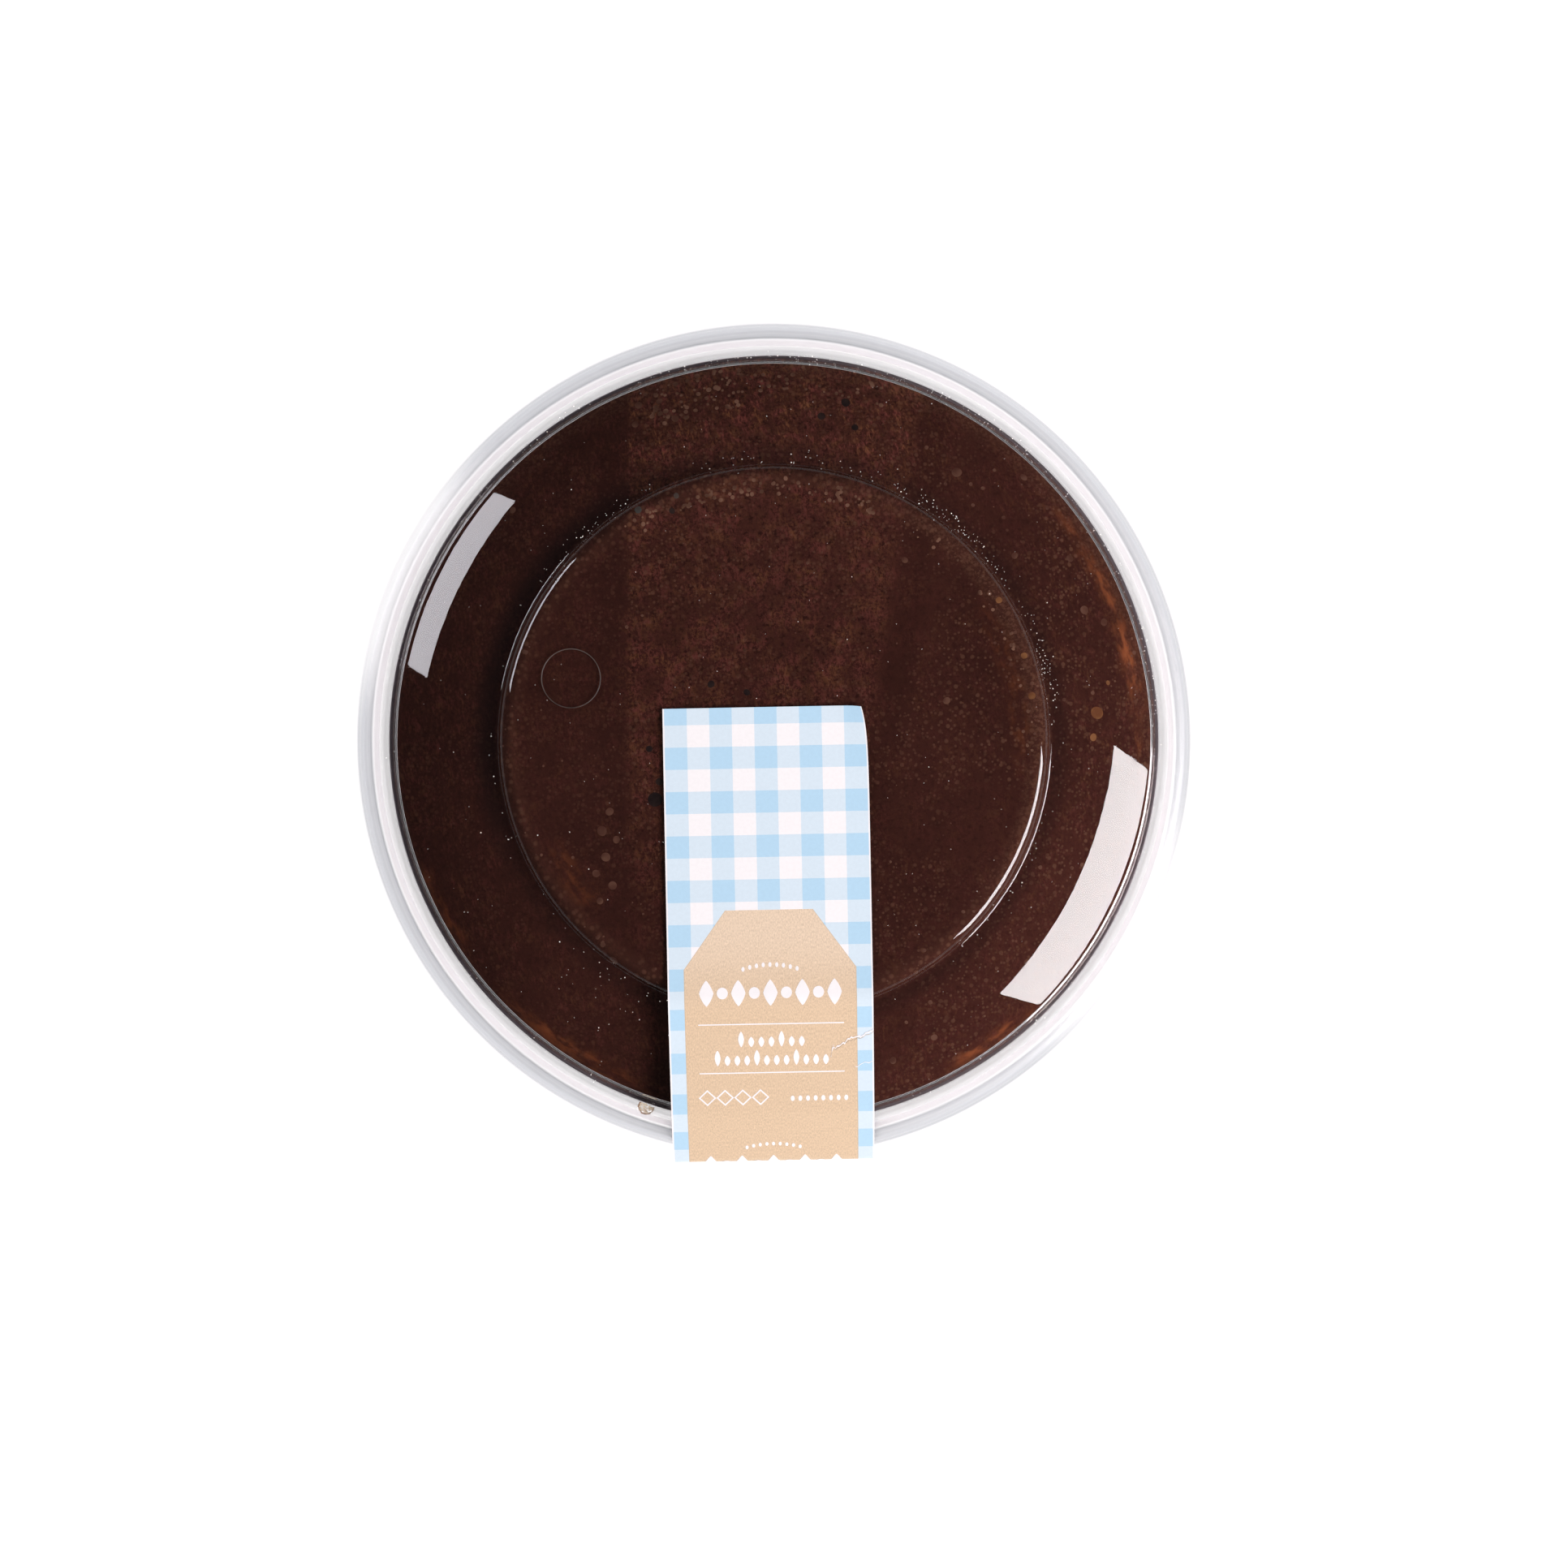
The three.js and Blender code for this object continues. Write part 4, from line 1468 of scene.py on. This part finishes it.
def lay_on_strip(marks, name, settings, sink, material):
    """Bends flat marks onto the strip as one piece."""
    piece = marks.piece(name)
    StripBend(settings).carry(piece, settings.paper - sink)
    select_only(piece)
    edit_all()
    bpy.ops.mesh.normals_make_consistent(inside=False)
    leave_edit()
    finish_piece(piece, PAPER_SLOT, material)


def white_ink(settings):
    return shared("white_print", speck_material, settings.white, [c * 0.97 for c in settings.white], 0.5)


# Printed marks, by their distance from the strip's upper end; a shape is half width, half height, power
RULES = (65.9, 76.9)
RULE_SHAPE = (16.4, 0.13, 40.0)
TITLES = ((53.3, 59.1), (94.4, 100.2))
TITLE_MARKS = 9
TITLE_ARC_HALF = 5.6
TITLE_ARC_DROP = 0.9
TITLE_DOT = (0.34, 0.5, 2.0)
TITLE_ROW_START = -13.3
TITLE_ROW_GAP = 3.32
TITLE_LOZENGE = (1.5, 2.7, 1.25)
TITLE_DISC = (1.15, 1.2, 2.0)
# Rows of small lozenges, every fourth one taller: distance, number, gap
SMALL_ROWS = ((69.3, 7, 2.1), (73.5, 12, 2.05))
SMALL_TALL = 1.75
SMALL_LOW = 1.15
SMALL_HALF_WIDTH = 0.62
SMALL_POWER = 1.5
# Open lozenges at the left and a short row of dots at the right: start, gap, distance, number
OPEN_ROW = (-13.6, 3.7, 82.5, 4)
OPEN_OUTER = 1.85
OPEN_INNER = 1.42
DOT_ROW = (4.2, 1.6, 82.9, 8)
ROW_DOT = (0.42, 0.62, 2.0)


def add_title(marks, arc_place, row_place):
    """A bold row of discs and lozenges below an arc of dots."""
    half = TITLE_MARKS // 2
    for i in range(TITLE_MARKS):
        swing = (i - half) / half
        y = arc_place + TITLE_ARC_DROP * swing * swing
        marks.add(spindle(swing * TITLE_ARC_HALF, y, *TITLE_DOT))
    for i in range(TITLE_MARKS):
        shape = TITLE_LOZENGE if i % 2 == 0 else TITLE_DISC
        marks.add(spindle(TITLE_ROW_START + i * TITLE_ROW_GAP, row_place, *shape, 16))


class MOUSSE_OT_print(bpy.types.Operator):
    """Print plain white lines and simple ornaments on the kraft tag"""

    bl_idname = "mousse.print"
    bl_label = "Printed ornaments"

    def execute(self, context):
        settings = context.scene.mousse_strip
        marks = Scatter()
        for place in RULES:
            marks.add(spindle(0.0, place, *RULE_SHAPE, 1))
        for arc_place, row_place in TITLES:
            add_title(marks, arc_place, row_place)
        for place, number, gap in SMALL_ROWS:
            for i in range(number):
                x = (i - (number - 1) / 2) * gap
                tall = SMALL_TALL if i % 4 == 0 else SMALL_LOW
                marks.add(spindle(x, place + SMALL_TALL - tall, SMALL_HALF_WIDTH, tall, SMALL_POWER))
        start, gap, place, number = OPEN_ROW
        for i in range(number):
            marks.add(flat_ring(start + gap * i, place, OPEN_OUTER, OPEN_INNER, 4))
        start, gap, place, number = DOT_ROW
        for i in range(number):
            marks.add(spindle(start + gap * i, place, *ROW_DOT))
        lay_on_strip(marks, "strip_print", settings, MARK_SINK, white_ink(settings))
        return {"FINISHED"}


TEAR_SEED = 11
TEAR_SHADOW_SEED = 12
TEAR_INSET = 0.05


class MOUSSE_OT_tear(bpy.types.Operator):
    """Tear the paper a little way in from its right edge, with a painted shadow along the tear"""

    bl_idname = "mousse.tear"
    bl_label = "Tear"

    def execute(self, context):
        settings = context.scene.mousse_strip
        edge = settings.width / 2 - TEAR_INSET
        draw = random.Random(TEAR_SEED)
        torn = Scatter()
        torn.add(ragged_ribbon((edge, 67.8), (12.6, 71.3), 0.6, 26, draw, 0.08))
        torn.add(ragged_ribbon((12.9, 70.9), (12.3, 73.3), 0.75, 7, draw, 0.05))
        torn.add(ragged_ribbon((edge, 74.6), (17.4, 75.6), 0.3, 8, draw, 0.04))
        lay_on_strip(torn, "strip_tear", settings, MARK_SINK, white_ink(settings))
        # A darker ribbon beside the tear: painted shadow under the torn paper
        draw = random.Random(TEAR_SHADOW_SEED)
        shade = Scatter()
        shade.add(ragged_ribbon((edge, 68.2), (12.6, 71.7), 0.22, 26, draw, 0.03))
        shadow = shared("torn_edge", speck_material, (0.42, 0.34, 0.28), (0.58, 0.50, 0.46), 0.6)
        lay_on_strip(shade, "strip_tear_shadow", settings, 2 * MARK_SINK, shadow)
        return {"FINISHED"}


# Camera and softboxes


# The photograph's side and the tub's axis in it, in its pixels
PHOTO_SIDE = 1932
PHOTO_AXIS = (953.5, 912.0)
MM_PER_PIXEL = 0.168
CAMERA_HEIGHT = 680.0
# Softboxes as seen from the tub: azimuth, elevation, angles across and up
LAMP_DISTANCE = 1200.0
LEFT_LAMP = (153.5, 24.0, 28.5, 12.3)
RIGHT_LAMP = (-24.6, 27.3, 39.0, 20.6)
LEFT_LAMP_COLOUR = (0.97, 0.94, 1.0)
RIGHT_LAMP_COLOUR = (1.0, 0.96, 0.965)
FLOOR_SIZE = 30.0
ROOM_COLOUR = (1.0, 1.0, 1.0, 1.0)
MIRRORED_ROOM = 0.03


def softbox(name, power, colour, azimuth, elevation, wide, high):
    """An area light seen from the tub at these angles, as wide and high as these degrees."""
    light = bpy.data.lights.new(name, "AREA")
    light.shape = "RECTANGLE"
    light.size = 2 * LAMP_DISTANCE * MM * math.tan(math.radians(wide / 2))
    light.size_y = 2 * LAMP_DISTANCE * MM * math.tan(math.radians(high / 2))
    light.energy = power
    light.color = colour
    lamp = bpy.data.objects.new(name, light)
    level, rise = polar(1.0, elevation)
    away = Vector((*polar(level, azimuth), rise))
    lamp.location = away * LAMP_DISTANCE * MM + Vector((0, 0, FLANGE_TOP * MM))
    lamp.rotation_euler = away.to_track_quat("Z", "Y").to_euler()
    lamp.visible_camera = False
    bpy.context.scene.collection.objects.link(lamp)


def soft_room(daylight):
    """Even light from all round, which reflections show only faintly above the horizon."""
    world = bpy.data.worlds.new("soft_room")
    world.use_nodes = True
    world.node_tree.nodes.clear()
    nodes = Nodes(world.node_tree)

    def background(strength):
        inputs = {"Color": ROOM_COLOUR, "Strength": strength}
        return nodes.add("ShaderNodeBackground", inputs).outputs["Background"]

    mirrored = nodes.add("ShaderNodeLightPath").outputs["Is Glossy Ray"]
    way = nodes.parts(nodes.add("ShaderNodeTexCoord").outputs["Generated"])
    above = nodes.step(way["Z"], -0.05, 0.02)
    light = nodes.mix_shader(nodes.times(mirrored, above), background(daylight), background(MIRRORED_ROOM))
    nodes.surface(light, "ShaderNodeOutputWorld")
    return world


def overhead_camera():
    data = bpy.data.cameras.new("overhead_camera")
    half_view = 0.5 * PHOTO_SIDE * MM_PER_PIXEL
    data.lens = 0.5 * data.sensor_width * CAMERA_HEIGHT / half_view
    data.shift_x = (0.5 * PHOTO_SIDE - PHOTO_AXIS[0]) / PHOTO_SIDE
    data.shift_y = (PHOTO_AXIS[1] - 0.5 * PHOTO_SIDE) / PHOTO_SIDE
    camera = bpy.data.objects.new("overhead_camera", data)
    camera.location = (0.0, 0.0, (PLATEAU_TOP + CAMERA_HEIGHT) * MM)
    bpy.context.scene.collection.objects.link(camera)
    return camera


class MOUSSE_OT_stage(bpy.types.Operator):
    """Set up the pale floor, the two softboxes, the room light and the camera straight above"""

    bl_idname = "mousse.stage"
    bl_label = "Stage"

    def execute(self, context):
        scene = context.scene
        settings = scene.mousse_stage
        deselect()
        bpy.ops.mesh.primitive_plane_add(size=FLOOR_SIZE, location=(0, 0, 0))
        floor = active_piece("pale_floor")
        floor.data.materials.append(shared("pale_floor", floor_material, settings))
        softbox("left_softbox", settings.left_power, LEFT_LAMP_COLOUR, *LEFT_LAMP)
        softbox("right_softbox", settings.right_power, RIGHT_LAMP_COLOUR, *RIGHT_LAMP)
        scene.world = soft_room(settings.daylight)
        scene.camera = overhead_camera()
        scene.view_settings.view_transform = "Standard"
        return {"FINISHED"}


class MOUSSE_PT_panel(bpy.types.Panel):
    """Lists the settings and the pieces of the tub"""

    bl_label = "Mousse tub"
    bl_idname = "MOUSSE_PT_panel"
    bl_space_type = "VIEW_3D"
    bl_region_type = "UI"
    bl_category = "Mousse tub"

    def draw(self, context):
        for group in SETTINGS:
            settings = getattr(context.scene, group)
            box = self.layout.box()
            for name in settings.__annotations__:
                box.prop(settings, name)
        for operator in OPERATORS:
            self.layout.operator(operator.bl_idname)


OPERATORS = (
    MOUSSE_OT_bowl,
    MOUSSE_OT_lid,
    MOUSSE_OT_ring_mark,
    MOUSSE_OT_mousse,
    MOUSSE_OT_bubbles,
    MOUSSE_OT_specks,
    MOUSSE_OT_foam,
    MOUSSE_OT_strip,
    MOUSSE_OT_print,
    MOUSSE_OT_tear,
    MOUSSE_OT_stage,
)
SETTINGS = {
    "mousse_tub": TubSettings,
    "mousse_look": MousseSettings,
    "mousse_strip": StripSettings,
    "mousse_stage": StageSettings,
}


def register():
    for name, settings in SETTINGS.items():
        bpy.utils.register_class(settings)
        setattr(bpy.types.Scene, name, PointerProperty(type=settings))
    for operator in OPERATORS:
        bpy.utils.register_class(operator)
    bpy.utils.register_class(MOUSSE_PT_panel)


def unregister():
    bpy.utils.unregister_class(MOUSSE_PT_panel)
    for operator in reversed(OPERATORS):
        bpy.utils.unregister_class(operator)
    for name, settings in reversed(SETTINGS.items()):
        delattr(bpy.types.Scene, name)
        bpy.utils.unregister_class(settings)


def main():
    register()
    bpy.ops.mousse.bowl()
    bpy.ops.mousse.lid()
    bpy.ops.mousse.ring_mark()
    bpy.ops.mousse.mousse()
    bpy.ops.mousse.bubbles()
    bpy.ops.mousse.specks()
    bpy.ops.mousse.foam()
    bpy.ops.mousse.strip()
    bpy.ops.mousse.print()
    bpy.ops.mousse.tear()
    bpy.ops.mousse.stage()


if __name__ == "__main__":
    main()
